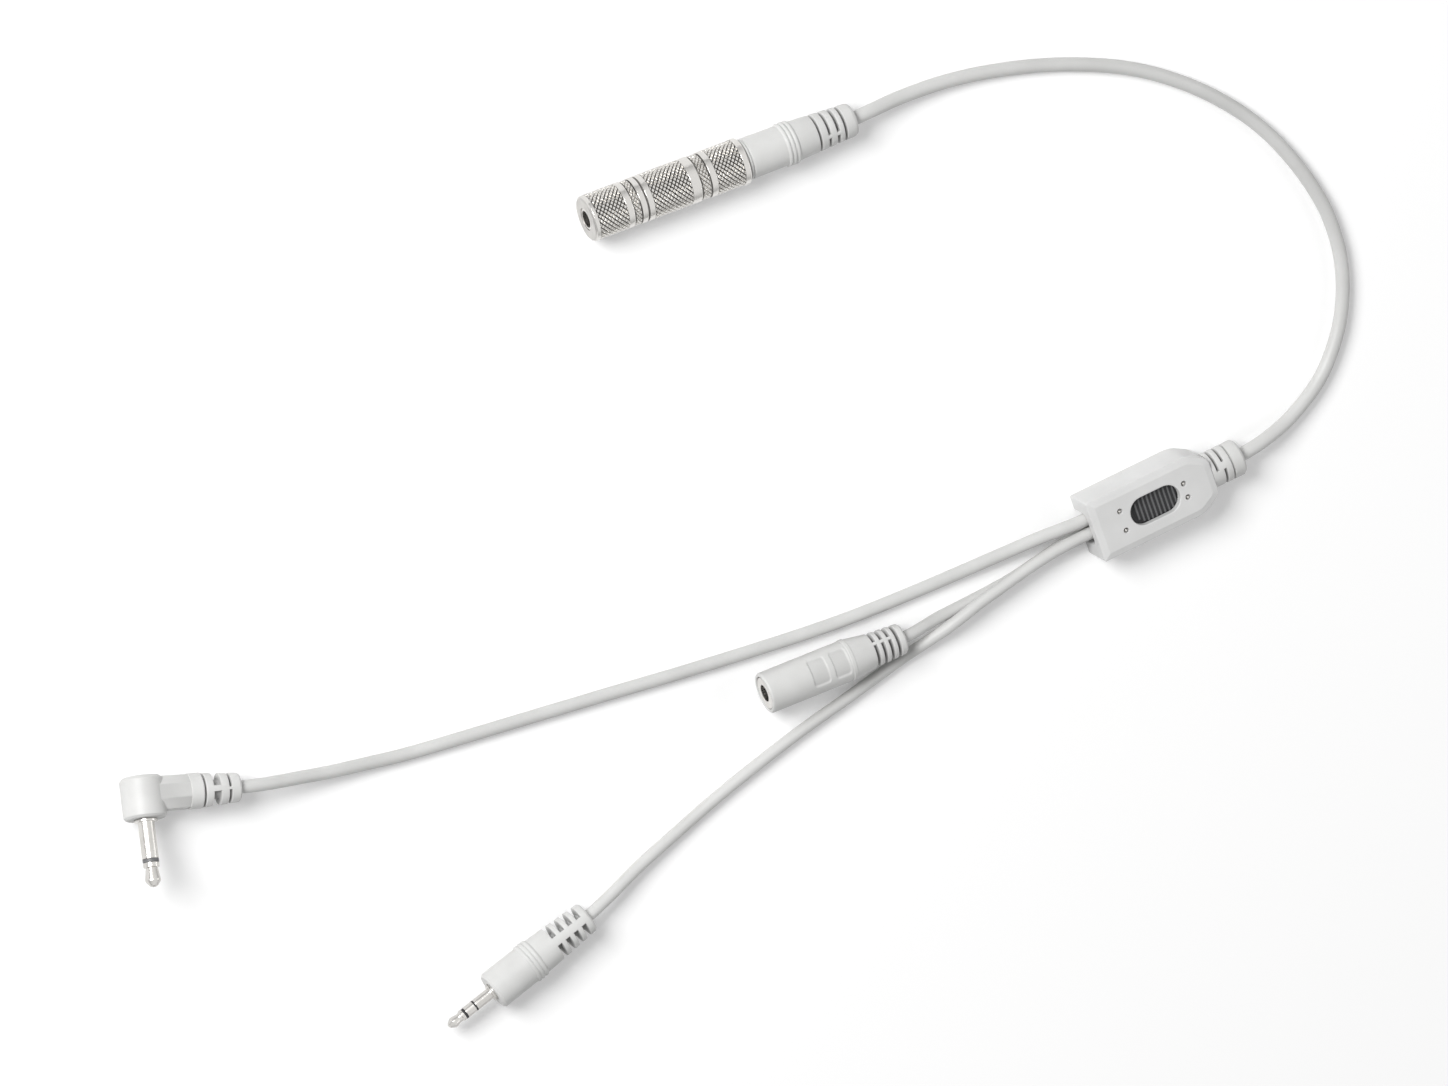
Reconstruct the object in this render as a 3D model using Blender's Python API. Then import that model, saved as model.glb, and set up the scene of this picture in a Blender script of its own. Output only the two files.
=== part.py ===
"""A headset adapter lead: a socket coupler on a moulded plug, a small switch box in the line, and three
tails that end in a right-angle plug, an in-line socket and a thin straight plug.

Everything lies on one flat surface at Z = 0. The origin is the middle of the switch box's underside, with
+X along the box towards its strain relief. Sizes and places are written in millimetres and become metres
where a mesh is made. Each connector is drawn along its own X axis, from its mouth or shoulder to its cord,
and an empty carries it to where it lies.
"""

import bmesh
import bpy
from math import atan2, ceil, cos, pi, radians, sin
from mathutils import Matrix, Vector

MM = 0.001
WELD = 1e-7  # metres: points this near are one point
SEAT_GAP = 0.15  # clearance of a piece in its seat
PIN_GAP = 0.05  # clearance between the stacked pieces of a plug's pin
PAST = 1.0  # how far a cutter runs past the face that it cuts

# Switch box
BOX_LENGTH = 28.8
BOX_WIDTH = 13.7
BOX_HEIGHT = 9.0
BOX_WALL = 1.2
BOX_TOP = 1.5
CORNER_CUT = (4.6, 2.6)  # of the two corners beside the strain relief, along X and Y
CORNER_ROUND = 0.6
CORNER_CUT_ROUND = 2.0
TOP_BEVEL = (1.5, 0.5)  # of the shallow slope round the top face, inwards and down
BASE_THICK = 1.2
WINDOW = (11.8, 6.2)
TAIL_NOTCH = (7.2, 5.9)  # width, and height from the underside
TAIL_NOTCH_ROUND = 1.4
PIN_PLACES = ((-7.9, 2.25), (-7.9, -2.25), (7.4, 1.6), (7.4, -1.6))
PIN_HEAD_RADIUS = 0.5
PIN_RADIUS = 0.3
PIN_RECESS = (0.62, 8.45)  # radius and floor of the sunk place of each pin's head
POST_RADIUS = 0.95
AXIS_HEIGHT = 4.5  # of the strain relief's axis above the underside
RELIEF_NECK = 2.7

# Switch
SWITCH_TRAVEL = 1.2
KNOB_PAD = (10.4, 5.8)
KNOB_FLANGE = (11.9, 7.2)
FLANGE_SHIFT = -0.25  # of the flange's middle from the pad's, towards the tails
KNOB_REST_X = 0.6  # the knob's middle at the strain relief's end of its travel
KNOB_TOP = 7.75
KNOB_SHOULDER = 7.2
KNOB_BOTTOM = 6.2
KNOB_RIBS = 10
KNOB_RIB_PITCH = 1.0
BOARD = (12.4, 9.8)
BOARD_BOTTOM = 2.0
BOARD_TOP = 3.0
FRAME_SIZE = (8.6, 4.4)
FRAME_TOP = 5.6
FRAME_WALL = 0.3

# Coupler, along its axis from its open face
COUPLER_RADIUS = 4.95
COUPLER_LENGTH = 36.0
COUPLER_BORE = 3.9
KNURL_DEPTH = 0.35
KNURL_ROUND = 18  # diamonds round the shell
KNURL_ROW = 0.87  # half of a diamond's length
KNURL_BANDS = ((1.2, 7.7), (13.8, 22.5), (28.4, 34.6))
SOCKET_RADIUS = 1.85  # of each bore that takes a 3.5 mm pin
PIN_35 = 1.75
PIN_25 = 1.25

# Cords
MAIN_CORD = 3.0
TAIL_A = 2.8
TAIL_B = 2.6
TAIL_C = 2.6
CORD_SEAT = 0.15  # clearance of a cord in the hole of a strain relief

# Where each connector lies: its origin, and its turns about its own X axis, up, and about Z, in degrees
COUPLER_PLACE = ((-95.0, 111.3, 5.08), (0.0, 0.0, -4.9))
JACK_PLACE = ((-93.3, -1.3, 4.63), (0.0, 0.0, -4.2))
STRAIGHT_PLACE = ((-170.7, -34.9, 4.48), (0.0, 0.0, 13.2))
ANGLE_PLACE = ((-226.3, 39.2, 5.46), (-24.0, 4.0, -20.1))

SIDES_MOULDED = 20
SIDES_PIN = 14


# ---------------------------------------------------------------- making solids


def finish(name, colour, roughness, metallic=0.0):
    """A plain material of one colour."""
    material = bpy.data.materials.new(name)
    material.use_nodes = True
    shader = material.node_tree.nodes["Principled BSDF"]
    shader.inputs["Base Color"].default_value = (*colour, 1.0)
    shader.inputs["Roughness"].default_value = roughness
    shader.inputs["Metallic"].default_value = metallic
    return material


def place_empty(name, place, parent=None):
    """An empty that carries a connector: its X axis is the connector's axis."""
    origin, (roll, rise, heading) = place
    empty = bpy.data.objects.new(name, None)
    empty.location = Vector(origin) * MM
    empty.rotation_euler = (radians(roll), radians(-rise), radians(heading))
    empty.parent = parent
    bpy.context.scene.collection.objects.link(empty)
    return empty


def make_object(name, bm, material=None, parent=None):
    """Turns a bmesh in millimetres into an object in metres, faces outwards."""
    bmesh.ops.scale(bm, vec=(MM, MM, MM), verts=bm.verts)
    bmesh.ops.remove_doubles(bm, verts=bm.verts, dist=WELD)
    bmesh.ops.recalc_face_normals(bm, faces=bm.faces)
    mesh = bpy.data.meshes.new(name)
    bm.to_mesh(mesh)
    bm.free()
    obj = bpy.data.objects.new(name, mesh)
    bpy.context.scene.collection.objects.link(obj)
    obj.parent = parent
    if material:
        mesh.materials.append(material)
        mesh.shade_smooth()
        mesh.set_sharp_from_angle(angle=radians(35))
    return obj


def make_cutter(name, bm, parent=None):
    """A helper that shapes other pieces and is no piece itself."""
    cutter = make_object(name, bm, parent=parent)
    cutter.hide_render = True
    cutter.display_type = "WIRE"
    return cutter


def combine(obj, other, operation="DIFFERENCE"):
    boolean = obj.modifiers.new(other.name, "BOOLEAN")
    boolean.operation = operation
    boolean.solver = "EXACT"
    boolean.object = other


def turned(profile, sides, bm=None):
    """Spins (x, radius) points about the X axis. A profile that doesn't start and end on the axis is a
    closed ring, as of a tube."""
    bm = bm or bmesh.new()
    points = [bm.verts.new((x, 0, radius)) for x, radius in profile]
    edges = [bm.edges.new(pair) for pair in zip(points, points[1:])]
    if profile[0][1] > 0:
        edges.append(bm.edges.new((points[-1], points[0])))
    spun = {"cent": (0, 0, 0), "axis": (1, 0, 0), "angle": 2 * pi, "steps": sides}
    bmesh.ops.spin(bm, geom=points + edges, **spun)
    bmesh.ops.remove_doubles(bm, verts=bm.verts, dist=WELD / MM)
    return bm


def skin(bm, rings, closed_ends=True, creased=False):
    """Joins rings of points, one after the other. With creased, squares that aren't flat are split along
    their lower diagonal, as measured from the X axis."""
    made = [[bm.verts.new(point) for point in ring] for ring in rings]
    sides = len(rings[0])
    following = made[1:] if closed_ends else made[1:] + made[:1]
    for ring, after in zip(made, following):
        for k in range(sides):
            a, b, c, d = ring[k], ring[(k + 1) % sides], after[(k + 1) % sides], after[k]
            rise = a.co.yz.length + c.co.yz.length - b.co.yz.length - d.co.yz.length
            if not creased or abs(rise) < 1e-4:
                bm.faces.new((a, b, c, d))
            elif rise > 0:
                bm.faces.new((a, b, d))
                bm.faces.new((b, c, d))
            else:
                bm.faces.new((a, b, c))
                bm.faces.new((a, c, d))
    if closed_ends:
        bm.faces.new(made[0])
        bm.faces.new(made[-1])
    return bm


def prism(outline, bottom, top, bm=None):
    """Extrudes a flat (x, y) outline upwards."""
    bm = bm or bmesh.new()
    return skin(bm, [[(x, y, z) for x, y in outline] for z in (bottom, top)])


def block(size, centre, bottom, top, bm=None):
    """A box, by its size and centre in plan."""
    (length, width), (x, y) = size, centre
    corners = [(-1, -1), (1, -1), (1, 1), (-1, 1)]
    return prism([(x + i * length / 2, y + j * width / 2) for i, j in corners], bottom, top, bm)


def stadium(length, width, centre_x=0.0, arc_points=7):
    """The outline of a slot with round ends, along X."""
    reach = (length - width) / 2
    outline = []
    for start, end in ((-pi / 2, 1), (pi / 2, -1)):
        for step in range(arc_points):
            angle = start + pi * step / (arc_points - 1)
            x, y = cos(angle) * width / 2, sin(angle) * width / 2
            outline.append((centre_x + end * reach + x, y))
    return outline


def ring_slots(parent, name, gaps, core, reach):
    """The cutter for a strain relief's gaps. A gap is (start, end, sectors), each sector a pair of angles
    in degrees round from +Z towards +Y, and is cut down to the core's radius."""
    bm = bmesh.new()
    for start, end, sectors in gaps:
        for first, last in sectors:
            steps = max(2, ceil((last - first) / 24))
            rings = []
            for step in range(steps + 1):
                angle = radians(first + (last - first) * step / steps)
                corners = ((start, core), (start, reach), (end, reach), (end, core))
                rings.append([(x, radius * sin(angle), radius * cos(angle)) for x, radius in corners])
            sector = bmesh.new()
            skin(sector, rings)
            bmesh.ops.triangulate(sector, faces=sector.faces)
            holder = bpy.data.meshes.new("sector")
            sector.to_mesh(holder)
            sector.free()
            bm.from_mesh(holder)
            bpy.data.meshes.remove(holder)
    return make_cutter(name, bm, parent)


def between(*bridges, width):
    """The sectors that are left between bridges of a gap, given the angle of each bridge's middle."""
    ends = sorted(bridges)
    following = ends[1:] + [ends[0] + 360]
    return [(a + width / 2, b - width / 2) for a, b in zip(ends, following)]


def bent_strip(path, width, thickness, angle):
    """A leaf of sheet metal whose middle line runs through (x, radius) points, at an angle round the axis."""
    bm = bmesh.new()
    rings = []
    for index, (x, radius) in enumerate(path):
        before, after = path[max(index - 1, 0)], path[min(index + 1, len(path) - 1)]
        slope = atan2(after[1] - before[1], after[0] - before[0])
        dx, dr = -sin(slope) * thickness / 2, cos(slope) * thickness / 2
        corners = ((-1, -1), (1, -1), (1, 1), (-1, 1))
        rings.append([(x + j * dx, i * width / 2, radius + j * dr) for i, j in corners])
    skin(bm, rings)
    bmesh.ops.rotate(bm, verts=bm.verts, cent=(0, 0, 0), matrix=Matrix.Rotation(-radians(angle), 3, "X"))
    return bm


for obj in list(bpy.data.objects):
    bpy.data.objects.remove(obj, do_unlink=True)

PALE_PVC = finish("pale_pvc", (0.62, 0.62, 0.61), 0.5)
CASE_PLASTIC = finish("case_plastic", (0.67, 0.67, 0.665), 0.42)
DARK_PLASTIC = finish("dark_plastic", (0.05, 0.05, 0.055), 0.45)
NICKEL = finish("nickel", (0.72, 0.70, 0.66), 0.25, 1.0)
SPRING_BRASS = finish("spring_brass", (0.78, 0.6, 0.3), 0.35, 1.0)
STEEL = finish("steel", (0.6, 0.6, 0.6), 0.35, 1.0)
BOARD_GREEN = finish("board_green", (0.03, 0.2, 0.08), 0.5)
RESISTOR_BLACK = finish("chip_black", (0.02, 0.02, 0.02), 0.4)
CERAMIC = finish("chip_ceramic", (0.5, 0.4, 0.28), 0.5)

# ---------------------------------------------------------------- switch box


def box_outline(inset):
    """The box seen from above, drawn in by an inset, with the corners beside the strain relief cut off."""
    cut_x, cut_y = CORNER_CUT
    length, width = BOX_LENGTH / 2 - inset, BOX_WIDTH / 2 - inset
    slope = Vector((cut_y, cut_x)).normalized()
    reach = slope.dot(Vector((BOX_LENGTH / 2 - cut_x, BOX_WIDTH / 2))) - inset
    side = ((reach - slope.y * width) / slope.x, width)
    end = (length, (reach - slope.x * length) / slope.y)
    far = [(-length, width), side, end]
    return far + [(x, -y) for x, y in reversed(far)]


def rounded_box(inset):
    """The same outline with its corners eased, in as many points at every inset."""
    corners = [Vector(point) for point in box_outline(inset)]
    eased = []
    for index, corner in enumerate(corners):
        before, after = corners[index - 1], corners[(index + 1) % len(corners)]
        radius = CORNER_ROUND if corner.x < 0 else CORNER_CUT_ROUND
        reach = max(radius - inset, 0.2) * 0.6
        start = corner + (before - corner).normalized() * reach
        end = corner + (after - corner).normalized() * reach
        for share in (0, 0.5, 1):
            eased.append(start.lerp(corner, share).lerp(corner.lerp(end, share), share))
    return eased


def case_cover():
    """The moulded cover: side walls and top in one, with the slope round its top face."""
    slope_in, slope_down = TOP_BEVEL
    levels = ((0, 0), (0, BOX_HEIGHT - slope_down), (slope_in, BOX_HEIGHT))
    rings = [[(x, y, z) for x, y in rounded_box(inset)] for inset, z in levels]
    cover = make_object("case_cover", skin(bmesh.new(), rings), CASE_PLASTIC)

    cavity = make_cutter("case_cavity", prism(box_outline(BOX_WALL), -PAST, BOX_HEIGHT - BOX_TOP))
    window = make_cutter(
        "switch_window", prism(stadium(*WINDOW), BOX_HEIGHT - BOX_TOP - PAST, BOX_HEIGHT + PAST)
    )
    width, height = TAIL_NOTCH
    notch = []
    for side in (1, -1):
        for step in range(4):
            angle = pi / 2 * step / 3 if side > 0 else pi / 2 * (3 - step) / 3
            middle = Vector((width / 2 - TAIL_NOTCH_ROUND, height - TAIL_NOTCH_ROUND))
            corner = middle + TAIL_NOTCH_ROUND * Vector((cos(angle), sin(angle)))
            notch.append((side * corner.x, corner.y))
    notch += [(-width / 2, -PAST), (width / 2, -PAST)]
    left = -BOX_LENGTH / 2
    bm = bmesh.new()
    skin(bm, [[(x, y, z) for y, z in notch] for x in (left - PAST, left + BOX_WALL + PAST)])
    tail_notch = make_cutter("tail_notch", bm)
    relief_notch = make_cutter("relief_notch", neck_prism(RELIEF_NECK + SEAT_GAP, -PAST, BOX_WALL + PAST))
    hole, recess = PIN_RADIUS + 0.08, PIN_RECESS[0]
    profile = [(BOX_HEIGHT - BOX_TOP - PAST, 0), (BOX_HEIGHT - BOX_TOP - PAST, hole), (PIN_RECESS[1], hole)]
    profile += [(PIN_RECESS[1], recess), (BOX_HEIGHT + PAST, recess), (BOX_HEIGHT + PAST, 0)]
    pin_holes = make_cutter("cover_pin_holes", upright(profile, PIN_PLACES))
    for cutter in (cavity, window, tail_notch, relief_notch, pin_holes):
        combine(cover, cutter)


def upright(profile, places, sides=12):
    """A turned shape with its axis upright, once at each place. The profile is (height, radius)."""
    bm = bmesh.new()
    for place in places:
        known = list(bm.verts)
        turned(profile, sides, bm)
        fresh = [vert for vert in bm.verts if vert not in known]
        turn = Matrix.Rotation(-pi / 2, 4, "Y")
        bmesh.ops.transform(bm, matrix=Matrix.Translation((*place, 0)) @ turn, verts=fresh)
    return bm


def drilled(bm, place, radius, bottom, top, sides=12):
    """An upright round bar, added to a bmesh."""
    ring = [(cos(2 * pi * k / sides) * radius, sin(2 * pi * k / sides) * radius) for k in range(sides)]
    return prism([(place[0] + x, place[1] + y) for x, y in ring], bottom, top, bm)


def neck_prism(radius, start, end):
    """The strain relief's neck: round above its axis, straight-sided down to the underside."""
    outline = [(cos(pi * k / 10) * radius, AXIS_HEIGHT + sin(pi * k / 10) * radius) for k in range(11)]
    foot = -PAST if radius > RELIEF_NECK else SEAT_GAP
    outline += [(-radius, foot), (radius, foot)]
    right = BOX_LENGTH / 2 - BOX_WALL
    return skin(bmesh.new(), [[(right + x, y, z) for y, z in outline] for x in (start, end)])


case_cover()


def case_base():
    """The plate that closes the cover from below, with two rails for the board and four pin posts."""
    tail_end = -BOX_LENGTH / 2 + BOX_WALL + 3 * SEAT_GAP
    outline = [(max(x, tail_end), y) for x, y in box_outline(BOX_WALL + SEAT_GAP)]
    bm = prism(outline, 0, BASE_THICK)
    base = make_object("case_base", bm, CASE_PLASTIC)
    posts = bmesh.new()
    for place in PIN_PLACES:
        drilled(posts, place, POST_RADIUS, BASE_THICK - 0.5, BOX_HEIGHT - BOX_TOP - 2 * SEAT_GAP)
    for side in (1, -1):
        block((10.0, 1.2), (-0.2, side * 3.9), BASE_THICK - 0.5, BOARD_BOTTOM - SEAT_GAP, posts)
    combine(base, make_cutter("base_posts", posts), "UNION")
    holes = bmesh.new()
    for place in PIN_PLACES:
        drilled(holes, place, PIN_RADIUS + 0.05, 3.6, BOX_HEIGHT)
    combine(base, make_cutter("post_holes", holes))


case_base()


def cover_pin(number, place):
    """A drive pin whose domed head sits sunk in the cover and holds it to a post of the base."""
    head, seat = PIN_HEAD_RADIUS, PIN_RECESS[1] + PIN_GAP
    profile = [(4.0, 0), (4.0, PIN_RADIUS * 0.7), (4.5, PIN_RADIUS), (seat, PIN_RADIUS), (seat, head)]
    profile += [(seat + 0.3, head), (seat + 0.44, head * 0.7), (seat + 0.5, 0)]
    make_object(f"cover_pin_{number}", upright(profile, [place]), NICKEL)


for number, place in enumerate(PIN_PLACES, 1):
    cover_pin(number, place)


def cord_hole(end, cord, depth):
    """The end of a moulding's profile: a blind hole for its cord."""
    hole = cord / 2 + CORD_SEAT
    return [(end, hole), (end - depth, hole), (end - depth, 0)]


def box_relief():
    """The rubber bush in the end wall: a flange inside, a neck in the notch, and slotted rings outside."""
    inside = BOX_LENGTH / 2 - BOX_WALL - SEAT_GAP
    outside = BOX_LENGTH / 2 + SEAT_GAP
    end = BOX_LENGTH / 2 + 7.9
    hole = MAIN_CORD / 2 + CORD_SEAT
    profile = [(inside - 0.45, 0), (inside - 0.45, 2.4), (outside, 2.4), (outside, 4.0)]
    profile += [(outside + 4.6, 4.0), (outside + 4.6, 3.5), (outside + 5.0, 3.5), (outside + 5.0, 4.0)]
    profile += [(end - 0.5, 4.0), (end, 3.6)] + cord_hole(end, MAIN_CORD, 2.6)
    relief = make_object("box_strain_relief", turned(profile, SIDES_MOULDED), PALE_PVC)
    relief.location.z = AXIS_HEIGHT * MM
    neck = neck_prism(RELIEF_NECK, 0, BOX_WALL)
    block((0.9, 6.6), (inside - 0.45, 0), BASE_THICK + SEAT_GAP, BOX_HEIGHT - BOX_TOP - SEAT_GAP, neck)
    combine(relief, make_cutter("relief_neck", neck), "UNION")
    gaps = [
        (outside + 0.9, outside + 1.5, [(6, 170)]),
        (outside + 2.6, outside + 3.2, [(29, 150), (-150, 5)]),
    ]
    slots = ring_slots(None, "box_relief_slots", gaps, 2.4, 5.0)
    slots.location.z = AXIS_HEIGHT * MM
    combine(relief, slots)


box_relief()


def tail_gland():
    """The rubber block behind the end wall that grips the three tails."""
    left = -BOX_LENGTH / 2 + BOX_WALL
    bm = block((2.8, 9.0), (left + SEAT_GAP + 0.2 + 1.4, 0), BASE_THICK + SEAT_GAP, 6.6)
    bmesh.ops.bevel(bm, geom=list(bm.edges), offset=0.4, segments=1, affect="EDGES")
    make_object("tail_gland", bm, DARK_PLASTIC)


tail_gland()


# ---------------------------------------------------------------- inside the box


def circuit_board():
    board_x = -0.25
    make_object("circuit_board", block(BOARD, (board_x, 0), BOARD_BOTTOM, BOARD_TOP), BOARD_GREEN)
    low, high = BOARD_TOP + PIN_GAP, BOARD_TOP + 0.6
    for number, x in enumerate((-4.2, 3.4), 1):
        chip = block((2.0, 1.25), (x, 3.9), low, high)
        make_object(f"matching_resistor_{number}", chip, RESISTOR_BLACK)
    make_object("blocking_capacitor", block((3.2, 1.6), (-0.4, -3.8), low, high + 0.5), CERAMIC)


circuit_board()


def slide_switch():
    """The steel frame, open below, its base with three terminals, and the parts that slide."""
    low = BOARD_TOP + 0.1
    frame = make_object("switch_frame", block(FRAME_SIZE, (0, 0), low, FRAME_TOP), STEEL)
    inner = [side - 2 * FRAME_WALL for side in FRAME_SIZE]
    combine(frame, make_cutter("frame_hollow", block(inner, (0, 0), low - PAST, FRAME_TOP - FRAME_WALL)))
    slot = block((2.0 + SWITCH_TRAVEL, 1.5), (0, 0), FRAME_TOP - PAST, FRAME_TOP + PAST)
    combine(frame, make_cutter("frame_slot", slot))

    base_size = [side - 2 * SEAT_GAP for side in inner]
    make_object("switch_base", block(base_size, (0, 0), low, 3.75), DARK_PLASTIC)
    for number in range(3):
        terminal = block((1.4, 2.6), ((number - 1) * 2.4, 0), 3.8, 3.98)
        make_object(f"switch_terminal_{number + 1}", terminal, SPRING_BRASS)

    middle = (KNOB_REST_X, 0)
    make_object("switch_contact", block((3.6, 2.2), middle, 4.05, 4.3), SPRING_BRASS)
    slider = make_object("switch_slider", block((4.2, 3.2), middle, 4.35, 5.15), DARK_PLASTIC)
    combine(slider, make_cutter("slider_stem", block((1.6, 1.1), middle, 4.8, 6.9)), "UNION")


slide_switch()


def thumb_knob():
    """The knob: a wide flange under the window and a round-ended pad with ten ribs across it."""
    width = KNOB_FLANGE[1]
    flange = block(KNOB_FLANGE, (KNOB_REST_X + FLANGE_SHIFT, 0), KNOB_BOTTOM, KNOB_SHOULDER)
    knob = make_object("switch_knob", flange, DARK_PLASTIC)
    pad = prism(stadium(*KNOB_PAD, KNOB_REST_X), KNOB_SHOULDER - 0.3, KNOB_TOP)
    combine(knob, make_cutter("knob_pad", pad), "UNION")
    grooves = bmesh.new()
    first = KNOB_REST_X - (KNOB_RIBS - 2) / 2 * KNOB_RIB_PITCH
    for rib in range(KNOB_RIBS - 1):
        place = (first + rib * KNOB_RIB_PITCH, 0)
        block((0.4, width), place, KNOB_TOP - 0.45, KNOB_TOP + PAST, grooves)
    combine(knob, make_cutter("knob_grooves", grooves))
    pocket = block((1.9, 1.4), (KNOB_REST_X, 0), KNOB_BOTTOM - PAST, 7.05)
    combine(knob, make_cutter("knob_pocket", pocket))


thumb_knob()

# ---------------------------------------------------------------- coupler


def shell_rings():
    """The shell's outside, front to rear, as rings of (x, radius of even points, radius of odd points)."""
    full, groove, teeth = COUPLER_RADIUS, 4.5, 4.75
    rings = [(0, 4.55, 4.55), (0.4, full, full)]

    def knurl(start, end, rear_radius=full):
        rings.append((start - 0.05, full, full))
        rows = 2 * round((end - start) / (2 * KNURL_ROW))
        for row in range(rows + 1):
            inside = 0 < row < rows
            high, low = full, full - KNURL_DEPTH
            even = high if inside and row % 2 == 0 else low
            odd = high if inside and row % 2 else low
            rings.append((start + (end - start) * row / rows, even, odd))
        rings.append((end + 0.05, rear_radius, rear_radius))

    def groove_ring(start, end, floor):
        rings.extend([(start, full, full), (start, floor, floor), (end, floor, floor), (end, full, full)])

    def toothed_groove(start, end, inset):
        rings.extend([(start, full, full), (start, groove, groove), (start + inset, groove, groove)])
        rings.extend([(start + inset + 0.05, teeth, groove), (end - inset - 0.05, teeth, groove)])
        rings.extend([(end - inset, groove, groove), (end, groove, groove), (end, full, full)])

    first, middle, last = KNURL_BANDS
    lip = full + 0.1
    knurl(*first)
    toothed_groove(9.1, 10.9, 0.3)
    groove_ring(12.1, 12.5, 4.6)
    knurl(*middle)
    toothed_groove(24.6, 27.0, 0.4)
    knurl(*last, lip)
    rings.extend([(COUPLER_LENGTH - 0.2, lip, lip), (COUPLER_LENGTH, full, full)])
    inside = ((COUPLER_LENGTH, COUPLER_BORE), (1.2, COUPLER_BORE), (1.2, 2.45), (0, 2.45))
    return rings + [(x, radius, radius) for x, radius in inside]


def coupler_shell(parent):
    sides = 2 * KNURL_ROUND
    rings = []
    for x, even, odd in shell_rings():
        radii = [(even, odd)[k % 2] for k in range(sides)]
        angles = [2 * pi * k / sides for k in range(sides)]
        rings.append([(x, r * sin(angle), r * cos(angle)) for r, angle in zip(radii, angles)])
    make_object("coupler_shell", skin(bmesh.new(), rings, False, True), NICKEL, parent)


def coupler_inside(parent):
    """The insulating core, a bush in each end of it, and the two leaves that join both plugs."""
    core = [(1.5, 2.4), (1.5, 3.6), (35.6, 3.6), (35.6, 2.4)]
    core += [(31.0, 2.4), (31.0, 2.65), (5.3, 2.65), (5.3, 2.4)]
    make_object("coupler_core", turned(core, 20), DARK_PLASTIC, parent)
    for name, start, end in (("front_socket_bush", 0.1, 5.0), ("rear_socket_bush", 31.2, 35.5)):
        bush = [(start, SOCKET_RADIUS), (start, 2.25), (end, 2.25), (end, SOCKET_RADIUS)]
        make_object(name, turned(bush, 16), NICKEL, parent)
    flat, touch = 2.4, 1.98
    for name, angle, bumps in (("tip_leaf", 90, (9.0, 25.0)), ("ring_leaf", -90, (12.5, 28.5))):
        path = [(7.0, flat)]
        for bump in bumps:
            path += [(bump - 1.2, flat), (bump, touch), (bump + 1.2, flat)]
        path.append((30.2, flat))
        make_object(name, bent_strip(path, 1.4, 0.25, angle), SPRING_BRASS, parent)


coupler = place_empty("coupler", COUPLER_PLACE)
coupler_shell(coupler)
coupler_inside(coupler)

# ---------------------------------------------------------------- plugs and socket


def stacked_pin(prefix, parent, tip, bands, layers, tails):
    """A plug's pin along -X, from its shoulder at X = 0. The tip is a head on a rod. Behind it, each band
    (name, front, rear, radius, material) is the end of a tube that runs back inside the next one."""
    rod = layers[0]
    head = tip + [(tip[-1][0], rod), (tails[0], rod), (tails[0], 0)]
    make_object(f"{prefix}_tip", turned(head, SIDES_PIN), NICKEL, parent)
    depths = zip(bands, layers, layers[1:], tails[1:])
    for (name, front, rear, radius, material), inner, outer, tail in depths:
        bore = inner + PIN_GAP
        tube = [(front, bore), (front, radius), (rear, radius), (rear, outer), (tail, outer), (tail, bore)]
        make_object(f"{prefix}_{name}", turned(tube, SIDES_PIN), material, parent)


def moulding(name, parent, profile, slots, core, reach, sides=SIDES_MOULDED):
    """A turned moulding with the gaps of its strain relief cut out."""
    obj = make_object(name, turned(profile, sides), PALE_PVC, parent)
    if slots:
        combine(obj, ring_slots(parent, f"{name}_slots", slots, core, reach))
    return obj


def ridges(start, pitch, count, high, low):
    """Low ridges, seen in profile."""
    points = [(start, low)]
    for ridge in range(count):
        points += [(start + pitch * (ridge + 0.5), high), (start + pitch * (ridge + 1), low)]
    return points


lead_plug = place_empty("lead_plug", COUPLER_PLACE)


def lead_plug_parts():
    """The plug on the main cord: it stays in the coupler's rear socket until the coupler is pulled off."""
    start, end = COUPLER_LENGTH + 0.3, 61.5
    profile = [(44.2, 0), (44.2, 2.5), (start, 2.5), (start, 4.1), (start + 0.6, 4.4)]
    profile += ridges(45.0, 0.93, 3, 4.65, 4.4)
    profile += [(52.4, 4.0), (61.0, 3.5), (end, 3.2)]
    profile += cord_hole(end, MAIN_CORD, 2.4)
    sides = between(-11, 169, width=12)
    hidden = between(130, 270, width=12)
    gaps = [(52.5, 53.0, hidden), (54.6, 55.2, sides), (56.6, 57.3, sides), (58.4, 59.0, hidden)]
    moulding("lead_plug_moulding", lead_plug, profile, gaps, 2.2, 6.0)

    shoulder = bpy.data.objects.new("lead_plug_shoulder", None)
    shoulder.location.x = start * MM
    shoulder.parent = lead_plug
    bpy.context.scene.collection.objects.link(shoulder)
    three_pole_pin("lead_plug", shoulder, PIN_35, 14.4, 2.4, 7.0)


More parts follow.
